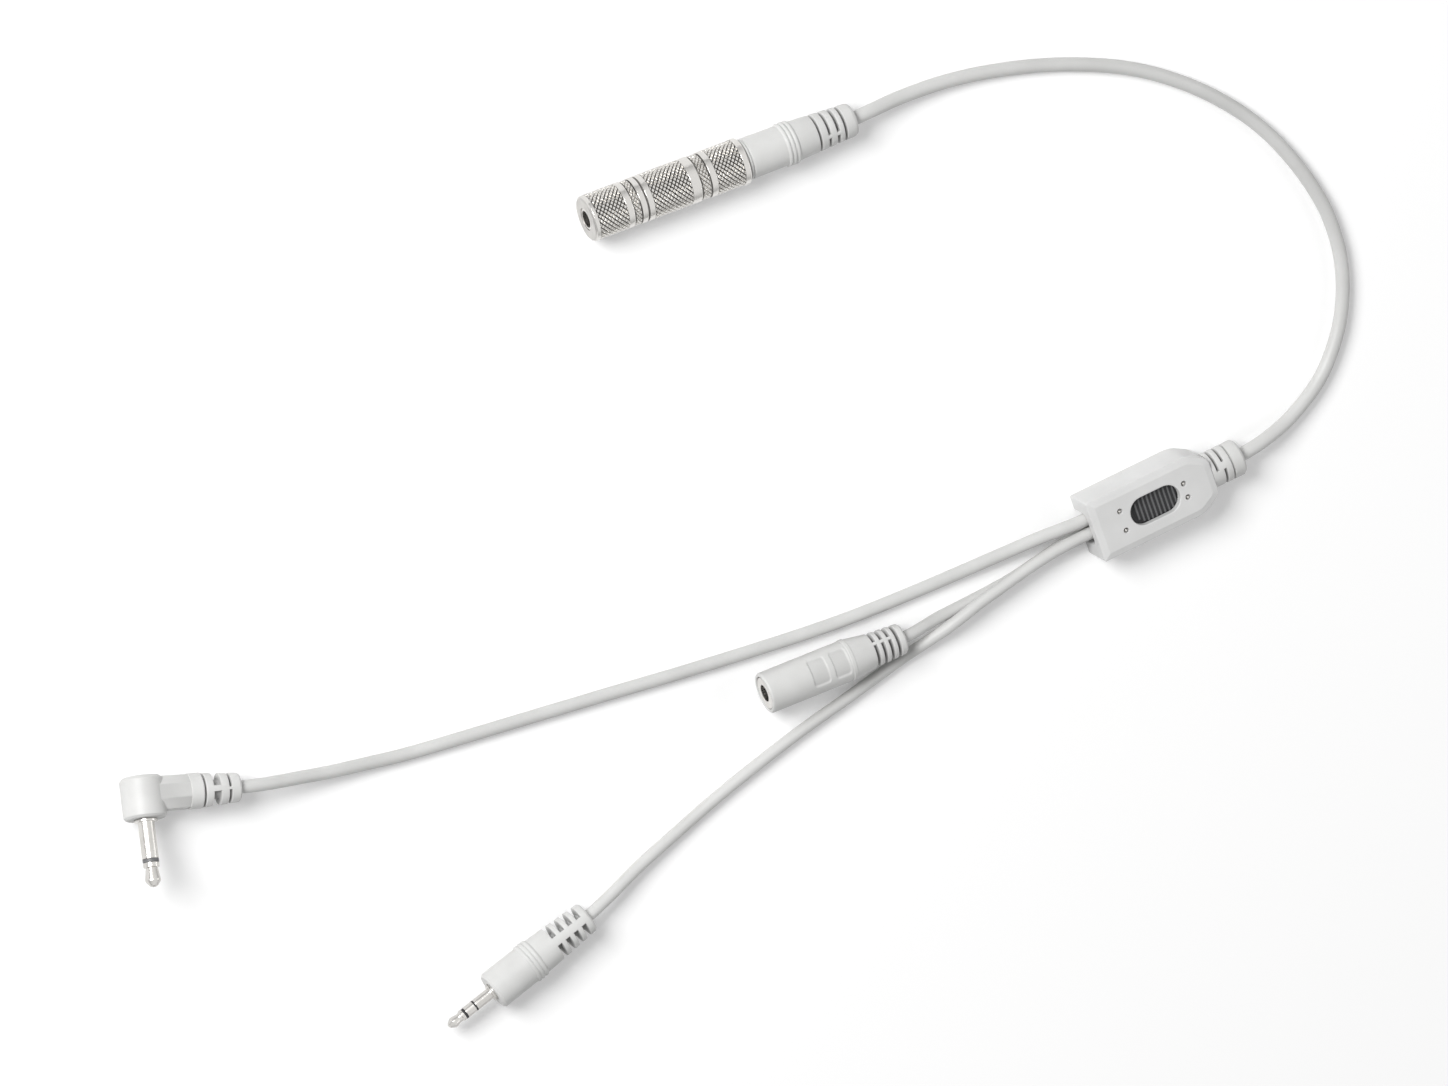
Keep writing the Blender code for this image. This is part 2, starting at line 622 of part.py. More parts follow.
def three_pole_pin(prefix, shoulder, radius, length, stem, depth):
    """The 3.5 mm pin: tip, insulator, ring, insulator and sleeve, with the sleeve's stem in the moulding."""
    neck = radius * 0.72
    tip = [(-length, 0), (-length + 0.1, 0.8), (-length + 1.5, radius - 0.05), (-length + 2.2, radius - 0.05)]
    tip += [(-length + 3.0, neck), (-length + 3.9, radius), (-length + 4.3, radius)]
    end = -length + 4.3
    bands = [
        ("rear_insulator", end + PIN_GAP, end + 0.65, radius - 0.03, DARK_PLASTIC),
        ("ring", end + 0.7, end + 2.6, radius, NICKEL),
        ("front_insulator", end + 2.65, end + 3.25, radius - 0.03, DARK_PLASTIC),
    ]
    layers = [0.45, 0.68, 0.92, 1.16]
    tails = [depth, depth - 0.7, depth - 1.4, depth - 2.1]
    stacked_pin(prefix, shoulder, tip, bands, layers, tails)
    bore = layers[-1] + PIN_GAP
    sleeve = [(end + 3.3, bore), (end + 3.3, radius), (-0.6, radius), (-0.5, 2.3), (0.1, 2.3)]
    sleeve += [(0.1, stem), (depth - 2.8, stem), (depth - 2.8, bore)]
    make_object(f"{prefix}_sleeve", turned(sleeve, SIDES_PIN), NICKEL, shoulder)


lead_plug_parts()

straight_plug = place_empty("straight_plug", STRAIGHT_PLACE)


def straight_plug_parts():
    """The thin three-pole plug, 2.5 mm, with a ridged grip and four gaps in its strain relief."""
    end = 25.5
    profile = [(6.6, 0), (6.6, 2.0), (0, 2.0), (0, 3.8), (0.5, 4.2)]
    profile += ridges(9.0, 0.93, 3, 4.45, 4.1)
    profile += [(16.1, 3.95), (25.1, 3.45), (end, 3.1)]
    profile += cord_hole(end, TAIL_C, 1.5)
    sectors = between(24.5, 204.5, width=30)
    gaps = [(16.2 + 2.18 * gap, 17.29 + 2.18 * gap, sectors) for gap in range(4)]
    moulding("straight_plug_moulding", straight_plug, profile, gaps, 1.8, 6.0)

    radius = PIN_25
    tip = [(-11.8, 0), (-11.7, 0.45), (-10.5, 1.15), (-9.9, 1.15), (-9.2, 0.85)]
    tip += [(-8.4, radius), (-7.65, radius)]
    bands = [
        ("rear_insulator", -7.6, -7.25, radius - 0.03, DARK_PLASTIC),
        ("ring", -7.2, -4.95, radius, NICKEL),
        ("front_insulator", -4.9, -4.65, radius - 0.03, DARK_PLASTIC),
    ]
    layers = [0.3, 0.5, 0.7, 0.9]
    stacked_pin("straight_plug", straight_plug, tip, bands, layers, [6.2, 5.6, 5.0, 4.4])
    bore = layers[-1] + PIN_GAP
    sleeve = [(-4.6, bore), (-4.6, radius), (-0.6, radius), (-0.6, 1.9), (3.8, 1.9), (3.8, bore)]
    make_object("straight_plug_sleeve", turned(sleeve, SIDES_PIN), NICKEL, straight_plug)


straight_plug_parts()

inline_jack = place_empty("inline_jack", JACK_PLACE)


def inline_jack_parts():
    """The in-line socket: a smooth moulding with two shallow grip pads on each side."""
    end = 32.4
    outer = 4.45
    profile = [(21.0, 0), (21.0, 3.0), (5.0, 3.0), (5.0, 3.65), (0, 3.65), (0, 4.2), (0.35, outer)]
    profile += [(19.0, outer), (19.1, 4.6), (19.8, 4.6), (19.9, outer), (24.9, 3.75), (32.0, 3.35)]
    profile += [(end, 3.0)] + cord_hole(end, TAIL_B, 1.4)
    sectors = between(39, 219, width=12)
    pitch = 1.7
    gaps = [(25.0 + pitch * gap, 25.75 + pitch * gap, sectors) for gap in range(3)]
    gaps.append((25.0 + pitch * 3, 25.75 + pitch * 3, between(130, 270, width=12)))
    jack = moulding("inline_jack_moulding", inline_jack, profile, gaps, 1.8, 6.0)
    pads = [(a, b, [(-21, 63), (159, 243)]) for a, b in ((9.8, 13.7), (14.9, 18.6))]
    combine(jack, ring_slots(inline_jack, "jack_grip_pads", pads, outer - 0.25, 6.0))

    bush = [(0.1, SOCKET_RADIUS), (0.1, 3.5), (4.7, 3.5), (4.7, 2.8), (6.5, 2.8), (6.5, SOCKET_RADIUS)]
    make_object("inline_jack_bush", turned(bush, 18), NICKEL, inline_jack)
    lining = [(19.5, 0), (19.5, 2.45), (6.8, 2.45), (6.8, 2.85), (20.6, 2.85), (20.6, 0)]
    make_object("inline_jack_lining", turned(lining, 14), DARK_PLASTIC, inline_jack)
    for name, angle, bump in (("inline_jack_ring_leaf", -90, 9.6), ("inline_jack_tip_leaf", 90, 13.6)):
        path = [(7.2, 2.2), (bump - 1.2, 2.2), (bump, 1.95), (bump + 1.2, 2.2), (19.0, 2.2)]
        make_object(name, bent_strip(path, 1.2, 0.2, angle), SPRING_BRASS, inline_jack)


inline_jack_parts()

angle_plug = place_empty("angle_plug", ANGLE_PLACE)


def angle_plug_parts():
    """The right-angle plug: a barrel across the end of an eight-sided sleeve, and a two-pole pin."""
    across = bpy.data.objects.new("angle_plug_barrel_axis", None)
    across.location.y = -5.0 * MM
    across.rotation_euler.z = pi / 2
    across.parent = angle_plug
    bpy.context.scene.collection.objects.link(across)

    end = 20.6
    barrel = [(0, 0), (0, 4.05), (0.5, 4.55), (8.2, 4.55), (8.8, 3.95), (8.8, 0)]
    body = make_object("angle_plug_moulding", turned(barrel, SIDES_MOULDED), PALE_PVC, across)
    corners = [(2 * k + 1) * pi / 8 for k in range(8)]
    sides = ((1.0, 3.58 / cos(pi / 8)), (10.4, 3.45 / cos(pi / 8)))
    rings = [[(x, r * sin(a), r * cos(a)) for a in corners] for x, r in sides]
    combine(body, make_cutter("angle_plug_sleeve", skin(bmesh.new(), rings), angle_plug), "UNION")
    rear = [(9.6, 0), (9.6, 3.75), (12.3, 3.75), (12.3, 3.55), (13.2, 3.55)]
    rear += [(20.2, 3.05), (end, 2.75)] + cord_hole(end, TAIL_A, 1.9)
    combine(body, make_cutter("angle_plug_relief", turned(rear, SIDES_MOULDED), angle_plug), "UNION")
    bore = turned([(-PAST, 0), (-PAST, 2.2), (7.2, 2.2), (7.2, 0)], 16)
    socket = make_cutter("angle_plug_bore", bore, across)
    combine(body, socket)
    gaps = [(12.45, 12.85, between(85, 265, width=14)), (14.5, 16.1, between(-5, 175, width=22))]
    gaps.append((17.85, 18.4, between(-8, 172, width=12)))
    combine(body, ring_slots(angle_plug, "angle_plug_slots", gaps, 2.0, 6.0))

    tip = [(-14.2, 0), (-14.15, 0.8), (-12.8, 1.6), (-10.6, 1.25), (-9.85, 1.7), (-9.1, 1.7)]
    bands = [("insulator", -9.05, -8.35, PIN_35 - 0.03, DARK_PLASTIC)]
    stacked_pin("angle_plug", across, tip, bands, [0.6, 1.0], [6.6, 5.8])
    bore = 1.05
    sleeve = [(-8.3, bore), (-8.3, PIN_35), (-0.6, PIN_35), (-0.6, 2.45), (-0.1, 2.45), (-0.1, 2.1)]
    sleeve += [(5.0, 2.1), (5.0, bore)]
    make_object("angle_plug_sleeve_contact", turned(sleeve, SIDES_PIN), NICKEL, across)


angle_plug_parts()

# ---------------------------------------------------------------- cords


def on_axis(place, x):
    """A point on a connector's axis."""
    origin, (_, rise, heading) = place
    level = cos(radians(rise))
    along = Vector((level * cos(radians(heading)), level * sin(radians(heading)), sin(radians(rise))))
    return Vector(origin) + x * along


def smooth_route(route, spacing):
    """Points at an even spacing on a centripetal Catmull-Rom curve through the route. The first and last
    stretches stay straight, because they lie in the connectors."""
    points = [Vector(point) for point in route]
    fine = []
    for a, b, c, d in zip(points, points[1:], points[2:], points[3:]):
        t1 = (b - a).length ** 0.5
        t2 = t1 + (c - b).length ** 0.5
        t3 = t2 + (d - c).length ** 0.5
        for step in range(24):
            t = t1 + (t2 - t1) * step / 24
            ab, bc, cd = a.lerp(b, t / t1), b.lerp(c, (t - t1) / (t2 - t1)), c.lerp(d, (t - t2) / (t3 - t2))
            abc, bcd = ab.lerp(bc, t / t2), bc.lerp(cd, (t - t1) / (t3 - t1))
            fine.append(abc.lerp(bcd, (t - t1) / (t2 - t1)))
    fine.append(points[-2])
    along = [0.0]
    for start, end in zip(fine, fine[1:]):
        along.append(along[-1] + (end - start).length)
    count = max(2, round(along[-1] / spacing))
    even, k = [], 0
    for step in range(count + 1):
        target = along[-1] * step / count
        while k < len(fine) - 2 and along[k + 1] < target:
            k += 1
        even.append(fine[k].lerp(fine[k + 1], (target - along[k]) / (along[k + 1] - along[k])))
    return [points[0], *even, points[-1]]


def cord(name, diameter, route, spacing):
    """A round cord with closed ends, lying along its route."""
    curve = bpy.data.curves.new(name, "CURVE")
    curve.dimensions = "3D"
    curve.bevel_depth = diameter / 2 * MM
    curve.bevel_resolution = 2
    curve.use_fill_caps = True
    points = smooth_route(route, spacing)
    spline = curve.splines.new("POLY")
    spline.points.add(len(points) - 1)
    for point, place in zip(spline.points, points):
        point.co = (*(place * MM), 1.0)
    curve.materials.append(PALE_PVC)
    obj = bpy.data.objects.new(name, curve)
    bpy.context.scene.collection.objects.link(obj)


MAIN_ROUTE = (
    on_axis(COUPLER_PLACE, 59.9), on_axis(COUPLER_PLACE, 62.2), (-28.5, 105.7, 4.6), (-21.6, 105.1, 3.3),
    (-9.7, 103.3, 2.05), (3.8, 99.7, 1.55), (18.0, 94.1, 1.55), (30.8, 86.7, 1.55), (42.0, 76.8, 1.55),
    (50.7, 65.4, 1.55), (56.3, 53.3, 1.55), (59.3, 41.4, 1.55), (59.6, 33.7, 1.55), (59.0, 28.4, 1.55),
    (57.3, 22.4, 1.55), (53.5, 14.8, 1.55), (46.3, 6.8, 1.6), (36.9, 1.9, 2.3), (29.1, 0.4, 3.85),
    (23.2, 0.0, 4.5), (20.9, 0.0, 4.5),
)
TAIL_A_ROUTE = (
    on_axis(ANGLE_PLACE, 19.2), on_axis(ANGLE_PLACE, 21.4), (-200.5, 29.8, 6.5), (-193.6, 27.4, 5.05),
    (-186.8, 25.0, 3.55), (-178.5, 22.6, 2.25), (-170.7, 20.6, 1.6), (-163.9, 19.3, 1.45),
    (-143.6, 15.9, 1.45), (-125.7, 12.9, 1.45),
    (-103.3, 9.1, 1.45), (-78.5, 5.4, 1.45), (-66.7, 4.1, 1.45), (-50.3, 3.0, 1.45), (-43.2, 2.7, 1.55),
    (-33.8, 2.5, 2.1), (-24.6, 2.5, 3.2), (-15.6, 2.1, 4.12), (-13.1, 2.1, 4.15),
)
TAIL_B_ROUTE = (
    on_axis(JACK_PLACE, 31.4), on_axis(JACK_PLACE, 33.0), (-57.0, -3.95, 3.8), (-54.5, -4.1, 2.9),
    (-52.1, -4.2, 2.1), (-49.5, -4.3, 1.6), (-44.1, -4.3, 1.38), (-37.7, -4.1, 1.38), (-33.0, -3.8, 1.38),
    (-26.1, -2.8, 1.38), (-21.1, -2.0, 1.38), (-15.6, -1.0, 1.42), (-13.1, -0.8, 1.45),
)
TAIL_C_ROUTE = (
    on_axis(STRAIGHT_PLACE, 24.4), on_axis(STRAIGHT_PLACE, 26.2), (-140.0, -27.5, 3.9), (-131.3, -24.9, 2.6),
    (-120.2, -22.0, 1.55), (-109.2, -18.9, 1.35), (-98.2, -16.2, 1.35), (-87.7, -13.9, 1.35),
    (-75.1, -11.7, 1.35), (-67.2, -10.2, 1.35), (-60.7, -8.9, 1.6), (-54.6, -7.7, 2.4), (-50.5, -6.7, 3.3),
    (-47.0, -5.7, 3.9), (-42.0, -4.4, 4.15), (-37.1, -3.5, 4.2),
    (-32.2, -2.6, 4.2), (-27.0, -1.8, 4.2), (-22.0, -1.3, 4.2), (-15.6, -1.1, 4.27), (-13.1, -1.1, 4.3),
)
cord("main_cord", MAIN_CORD, MAIN_ROUTE, 3.0 * MAIN_CORD)
cord("tail_a_cord", TAIL_A, TAIL_A_ROUTE, 3.2 * TAIL_A)
cord("tail_b_cord", TAIL_B, TAIL_B_ROUTE, 2.0 * TAIL_B)
cord("tail_c_cord", TAIL_C, TAIL_C_ROUTE, 2.4 * TAIL_C)
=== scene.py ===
"""A headset adapter lead on a pale table: a knurled socket coupler on a moulded plug, a slide-switch box in
the line, and three tails that end in a right-angle plug, an in-line socket and a thin straight plug."""

from math import ceil, cos, hypot, pi, radians, sin, tan

import bmesh
import bpy
from mathutils import Euler, Matrix, Vector


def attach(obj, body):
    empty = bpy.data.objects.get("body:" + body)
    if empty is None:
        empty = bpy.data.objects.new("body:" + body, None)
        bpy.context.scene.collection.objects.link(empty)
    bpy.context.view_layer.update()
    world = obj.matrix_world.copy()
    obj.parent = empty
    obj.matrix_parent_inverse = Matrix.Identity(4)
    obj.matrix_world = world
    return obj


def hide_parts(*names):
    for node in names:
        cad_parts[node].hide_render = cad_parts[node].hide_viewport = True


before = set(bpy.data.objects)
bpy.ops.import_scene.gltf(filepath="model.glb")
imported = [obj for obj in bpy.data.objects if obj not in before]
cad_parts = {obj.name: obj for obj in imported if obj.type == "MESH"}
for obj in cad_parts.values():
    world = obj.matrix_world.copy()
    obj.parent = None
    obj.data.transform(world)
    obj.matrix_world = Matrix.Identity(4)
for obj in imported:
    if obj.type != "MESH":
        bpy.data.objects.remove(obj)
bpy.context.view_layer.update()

# ---------------------------------------------------------------- table, light and camera
# The lead lies flat on a white table top under one large soft window of light from the upper left, with an
# even, slightly darker room all round that the metal can mirror.


class Socket:
    """One socket of a tree's nodes. Arithmetic on it adds Math nodes, and node() adds any other node."""

    def __init__(self, tree, end=None):
        self.tree, self.end = tree, end

    def node(self, kind, settings=(), sockets=(), out=0):
        """Adds a node: its settings, then its sockets' values or links. A list holds the links of one
        socket, and a tuple of outputs gives each of them."""
        made = self.tree.nodes.new(kind)
        for key, value in dict(settings).items():
            setattr(made, key, value)
        for key, value in dict(sockets).items():
            for item in value if isinstance(value, list) else [value]:
                if isinstance(item, Socket):
                    self.tree.links.new(item.end, made.inputs[key])
                else:
                    made.inputs[key].default_value = item
        if isinstance(out, tuple):
            return [Socket(self.tree, made.outputs[key]) for key in out]
        return Socket(self.tree, made.outputs[out] if len(made.outputs) else None)

    def math(self, operation, *values):
        return self.node("ShaderNodeMath", {"operation": operation}, enumerate(values))

    def clear(self, low, high):
        """0 below low, 1 above high, and smooth between."""
        settings = {"interpolation_type": "SMOOTHSTEP"}
        return self.node("ShaderNodeMapRange", settings, {0: self, 1: low, 2: high})

    def __add__(self, other):
        return self.math("ADD", self, other)

    def __sub__(self, other):
        return self.math("SUBTRACT", self, other)

    def __rsub__(self, other):
        return self.math("SUBTRACT", other, self)

    def __mul__(self, other):
        return self.math("MULTIPLY", self, other)

    def __rtruediv__(self, other):
        return self.math("DIVIDE", other, self)

    __radd__ = __add__
    __rmul__ = __mul__


def begin(block):
    """Clears a material or a world, and gives a handle on its tree."""
    block.use_nodes = True
    block.node_tree.nodes.clear()
    return Socket(block.node_tree)


def placed(name, data):
    """A new object in the scene."""
    made = bpy.data.objects.new(name, data)
    bpy.context.collection.objects.link(made)
    return made


TABLE_REACH, TABLE_LEVEL = 12.0, -0.00004
table = bpy.data.meshes.new("table")
corners = [(x * TABLE_REACH, y * TABLE_REACH, TABLE_LEVEL) for x, y in ((-1, -1), (1, -1), (1, 1), (-1, 1))]
table.from_pydata(corners, [], [(0, 1, 2, 3)])
table_top = placed("table", table)
table_white = bpy.data.materials.new("table_white")
at = begin(table_white)
seen = at.node("ShaderNodeLightPath", out="Is Camera Ray") + at.node("ShaderNodeLightPath", out="Is Glossy Ray")
matt = at.node("ShaderNodeBsdfDiffuse", (), {"Color": (0.9, 0.9, 0.9, 1.0)})
lift = at.node("ShaderNodeEmission", (), {"Strength": seen * 0.15})
both = at.node("ShaderNodeAddShader", (), {0: matt, 1: lift})
at.node("ShaderNodeOutputMaterial", (), {"Surface": both})
table.materials.append(table_white)

world = bpy.data.worlds.new("room")
bpy.context.scene.world = world
at = begin(world)
height = at.node("ShaderNodeSeparateXYZ", (), {0: at.node("ShaderNodeTexCoord", out="Generated")}, out="Z")
rays = ("Camera", "Transmission", "Glossy")
path = {name: at.node("ShaderNodeLightPath", out=f"Is {name} Ray") for name in rays}
room = 0.2 + 0.16 * height.clear(0.05, 0.9)
mirrored = 0.5 + 0.5 * height.clear(-0.05, 0.7)
strength = room + (path["Camera"] + path["Transmission"]) * (1.0 - room) + path["Glossy"] * (mirrored - room)
shown = at.node("ShaderNodeBackground", (), {"Color": (1, 1, 1, 1), "Strength": strength})
at.node("ShaderNodeOutputWorld", (), {"Surface": shown})


def soft_lamp(name, watts, size, place, aim):
    """A square of light that faces one point of the table."""
    lamp = bpy.data.lights.new(name, "AREA")
    lamp.shape = "SQUARE"
    lamp.size = size
    lamp.energy = watts
    holder = placed(name, lamp)
    holder.location = place
    holder.rotation_euler = (Vector(aim) - Vector(place)).to_track_quat("-Z", "Y").to_euler()


middle = Vector((-0.087, 0.036, 0.0))
soft_lamp("window", 29.0, 0.7, middle + Vector((-0.85, 1.0, 1.1)), middle)
soft_lamp("card", 3.0, 0.7, middle + Vector((1.15, -0.35, 0.75)), middle)

LENS, DISTANCE = 400.0, 3.35185
view = bpy.data.cameras.new("camera")
view.lens = LENS
view.sensor_width = 36.0
view.clip_start, view.clip_end = 0.1, 60.0
camera = placed("camera", view)
bpy.context.scene.camera = camera
toward = Vector((-0.26485, 0.35780, 0.89545)).normalized()
right = Vector((0.86801, -0.31600, 0.38301))
right = (right - right.dot(toward) * toward).normalized()
turn = Matrix((right, toward.cross(right), toward)).transposed()
aim = Vector((-0.08909, 0.03125, 0.0))
camera.matrix_world = Matrix.Translation(aim + DISTANCE * toward) @ turn.to_4x4()
bpy.context.scene.view_settings.view_transform = "Standard"

# ---------------------------------------------------------------- cords
# Four round PVC cords, extruded over their wires with a smooth, slightly soft skin. The thick one runs from
# the moulded plug to the box, and three thinner tails leave the box through one notch. They lie on the table
# and rise into whatever holds their ends.

MM = 0.001

# Where each connector lies: its mouth in millimetres, then its roll, rise and heading in degrees.
COUPLER_PLACE = ((-95.0, 111.3, 5.08), (0.0, 0.0, -4.9))
JACK_PLACE = ((-93.3, -1.3, 4.63), (0.0, 0.0, -4.2))
STRAIGHT_PLACE = ((-170.7, -34.9, 4.48), (0.0, 0.0, 13.2))
ANGLE_PLACE = ((-226.3, 39.2, 5.46), (-24.0, 4.0, -20.1))


def on_axis(place, x):
    """A point on a connector's axis, x millimetres from its mouth."""
    origin, (_, rise, heading) = place
    level = cos(radians(rise))
    along = Vector((level * cos(radians(heading)), level * sin(radians(heading)), sin(radians(rise))))
    return Vector(origin) + x * along


def lay_cord(name, diameter, route, finish):
    """A cord along a smooth curve through its route; the first and last stretches are straight."""
    points = [Vector(point) for point in route]
    knots = []
    for a, b, c, d in zip(points, points[1:], points[2:], points[3:]):
        t1, t2, t3 = ((end - start).length ** 0.5 for start, end in ((a, b), (b, c), (c, d)))
        leave = (c - b) + t2 * ((b - a) / t1 - (c - a) / (t1 + t2))
        arrive = (c - b) + t2 * ((d - c) / t3 - (d - b) / (t2 + t3))
        knots.append((b + leave / 3, c - arrive / 3))
    curve = bpy.data.curves.new(name, "CURVE")
    curve.dimensions = "3D"
    curve.bevel_depth = diameter / 2 * MM
    curve.bevel_resolution = 8
    curve.resolution_u = 10
    curve.use_fill_caps = True
    spline = curve.splines.new("BEZIER")
    spline.bezier_points.add(len(points) - 1)
    for index, point in enumerate(spline.bezier_points):
        here = points[index]
        point.co = here * MM
        point.handle_left_type = point.handle_right_type = "FREE"
        before = points[max(index - 1, 0)]
        after = points[min(index + 1, len(points) - 1)]
        point.handle_left = here.lerp(before, 1 / 3) * MM
        point.handle_right = here.lerp(after, 1 / 3) * MM
        if 1 <= index < len(points) - 2:
            point.handle_right = knots[index - 1][0] * MM
        if 2 <= index < len(points) - 1:
            point.handle_left = knots[index - 2][1] * MM
    curve.materials.append(finish)
    cord = placed(name, curve)
    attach(cord, "lead")
    return cord


def mottled(at, scale, low, high, detail=3.0):
    """Soft noise over the object's own coordinates, in metres, spread from 0 to 1."""
    spread = at.node("ShaderNodeTexCoord", out="Object")
    noise = at.node("ShaderNodeTexNoise", (), {"Vector": spread, "Scale": scale, "Detail": detail})
    return noise.clear(low, high)


# The colour sockets of a Mix node, by number.
MIX_FIRST, MIX_SECOND, MIX_RESULT = 6, 7, 2


def tinted(at, share, dark, light):
    """A colour between two, by a share. Each is a colour's three values, or the socket of a colour."""
    dark, light = (shade if isinstance(shade, Socket) else (*shade, 1.0) for shade in (dark, light))
    sockets = {0: share, MIX_FIRST: dark, MIX_SECOND: light}
    return at.node("ShaderNodeMix", {"data_type": "RGBA"}, sockets, out=MIX_RESULT)


def finished(at, colour, roughness, height, rise, **constant):
    """Ends a material in one Principled shader, with a bump of so many metres."""
    bump = at.node("ShaderNodeBump", (), {"Height": height, "Distance": rise, "Strength": 1.0})
    sockets = {"Base Color": colour, "Roughness": roughness, "Normal": bump, **constant}
    shader = at.node("ShaderNodeBsdfPrincipled", (), sockets)
    at.node("ShaderNodeOutputMaterial", (), {"Surface": shader})


cord_skin = bpy.data.materials.new("cord_skin")
at = begin(cord_skin)
cloudy = mottled(at, 90.0, 0.3, 0.7)
grain = mottled(at, 6500.0, 0.3, 0.7, detail=2.0)
handled = mottled(at, 420.0, 0.62, 0.72, detail=5.0)
shade = tinted(at, 0.7 * cloudy + 0.3 * grain, (0.56, 0.56, 0.55), (0.63, 0.63, 0.62))
finished(at, shade, 0.4 + 0.1 * grain + 0.12 * handled, 0.2 * grain + cloudy, 0.00002)

MAIN_ROUTE = (
    on_axis(COUPLER_PLACE, 59.9), on_axis(COUPLER_PLACE, 62.2), (-28.5, 105.7, 4.6), (-21.6, 105.1, 3.3),
    (-9.7, 103.3, 2.05), (3.8, 99.7, 1.55), (18.0, 94.1, 1.55), (30.8, 86.7, 1.55), (42.0, 76.8, 1.55),
    (50.7, 65.4, 1.55), (56.3, 53.3, 1.55), (59.3, 41.4, 1.55), (59.6, 33.7, 1.55), (59.0, 28.4, 1.55),
    (57.3, 22.4, 1.55), (53.5, 14.8, 1.55), (46.3, 6.8, 1.6), (36.9, 1.9, 2.3), (29.1, 0.4, 3.85),
    (23.2, 0.0, 4.5), (20.9, 0.0, 4.5),
)
TAIL_A_ROUTE = (
    on_axis(ANGLE_PLACE, 19.2), on_axis(ANGLE_PLACE, 21.4), (-200.5, 29.8, 6.5), (-193.6, 27.4, 5.05),
    (-186.8, 25.0, 3.55), (-178.5, 22.6, 2.25), (-170.7, 20.6, 1.6), (-163.9, 19.3, 1.45), (-143.6, 15.9, 1.45),
    (-125.7, 12.9, 1.45), (-103.3, 9.1, 1.45), (-78.5, 5.4, 1.45), (-66.7, 4.1, 1.45), (-50.3, 3.0, 1.45),
    (-43.2, 2.7, 1.55), (-33.8, 2.5, 2.1), (-24.6, 2.5, 3.2), (-15.6, 2.1, 4.12), (-13.1, 2.1, 4.15),
)
TAIL_B_ROUTE = (
    on_axis(JACK_PLACE, 31.4), on_axis(JACK_PLACE, 33.0), (-57.0, -3.95, 3.8), (-54.5, -4.1, 2.9),
    (-52.1, -4.2, 2.1), (-49.5, -4.3, 1.6), (-44.1, -4.3, 1.38), (-37.7, -4.1, 1.38), (-33.0, -3.8, 1.38),
    (-26.1, -2.8, 1.38), (-21.1, -2.0, 1.38), (-15.6, -1.0, 1.42), (-13.1, -0.8, 1.45),
)
TAIL_C_ROUTE = (
    on_axis(STRAIGHT_PLACE, 24.4), on_axis(STRAIGHT_PLACE, 26.2), (-140.0, -27.5, 3.9), (-131.3, -24.9, 2.6),
    (-120.2, -22.0, 1.55), (-109.2, -18.9, 1.35), (-98.2, -16.2, 1.35), (-87.7, -13.9, 1.35),
    (-75.1, -11.7, 1.35), (-67.2, -10.2, 1.35), (-60.7, -8.9, 1.6), (-54.6, -7.7, 2.4), (-50.5, -6.7, 3.3),
    (-47.0, -5.7, 3.9), (-42.0, -4.4, 4.15), (-37.1, -3.5, 4.2), (-32.2, -2.6, 4.2), (-27.0, -1.8, 4.2),
    (-22.0, -1.3, 4.2), (-15.6, -1.1, 4.27), (-13.1, -1.1, 4.3),
)
cords = {}
for name, diameter, route in (
    ("main_cord", 3.0, MAIN_ROUTE),
    ("tail_a_cord", 2.8, TAIL_A_ROUTE),
    ("tail_b_cord", 2.6, TAIL_B_ROUTE),
    ("tail_c_cord", 2.6, TAIL_C_ROUTE),
):
    cord = lay_cord(name + "_skin", diameter, route, cord_skin)
    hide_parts(name)
    cords[name] = cord


# ---------------------------------------------------------------- the main cord's plug
# A stereo plug moulded in pale PVC round its contacts: a plain barrel with a fine groove at its mouth, three
# grip ridges, and a tapered strain relief cut by four gaps that bridges span. It is turned, then the gaps
# are sunk into it.


def arc(start, corner, end, steps=4):
    """Points along the round that takes a corner off."""
    shares = [k / steps for k in range(steps + 1)]
    return [start.lerp(corner, t).lerp(corner.lerp(end, t), t) for t in shares]


def eased(line, radius=0.12):
    """Rounds the corners of an (x, radius) line. On a long stretch a point beside each round keeps the flat
    clear of the round's shading. A bend of under 0.12 radians is left as it is."""
    points = [Vector(point) for point in line]
    out = [points[0]]
    for before, corner, after in zip(points, points[1:], points[2:]):
        back, ahead = before - corner, after - corner
        if back.length < 1e-6 or ahead.length < 1e-6:
            continue
        bend = pi - back.angle(ahead)
        if bend < 0.12:
            out.append(corner)
            continue
        reach = min(radius * tan(bend / 2), 0.42 * back.length, 0.42 * ahead.length)
        start, end = corner + back.normalized() * reach, corner + ahead.normalized() * reach
        if back.length > 4 * reach:
            out.append(start + back.normalized() * min(0.1, 0.05 * back.length))
        out += arc(start, corner, end)
        if ahead.length > 4 * reach:
            out.append(end + ahead.normalized() * min(0.1, 0.05 * ahead.length))
    return out + [points[-1]]


def with_rows(line, stations):
    """The same line with a point added at each station along X."""
    out = [line[0]]
    for start, end in zip(line, line[1:]):
        low, high = sorted((start.x, end.x))
        inside = [x for x in stations if low + 0.004 < x < high - 0.004]
        for x in sorted(set(inside), reverse=end.x < start.x):
            out.append(start.lerp(end, (x - start.x) / (end.x - start.x)))
        out.append(end)
    return out


# A gap's lip and foot in profile, as (how far inside its edge, how deep), the lip's in shares of its round.
LIP = ((-1.0, 0.0), (-0.7, 0.05), (-0.4, 0.18), (-0.15, 0.47), (0.0, 1.0))
FOOT = ((0.02, 0.14), (0.07, 0.04), (0.16, 0.0))

# Millimetres that no gap reaches, and the degrees in a radian.
FAR, RADIAN = 9.0, 57.3


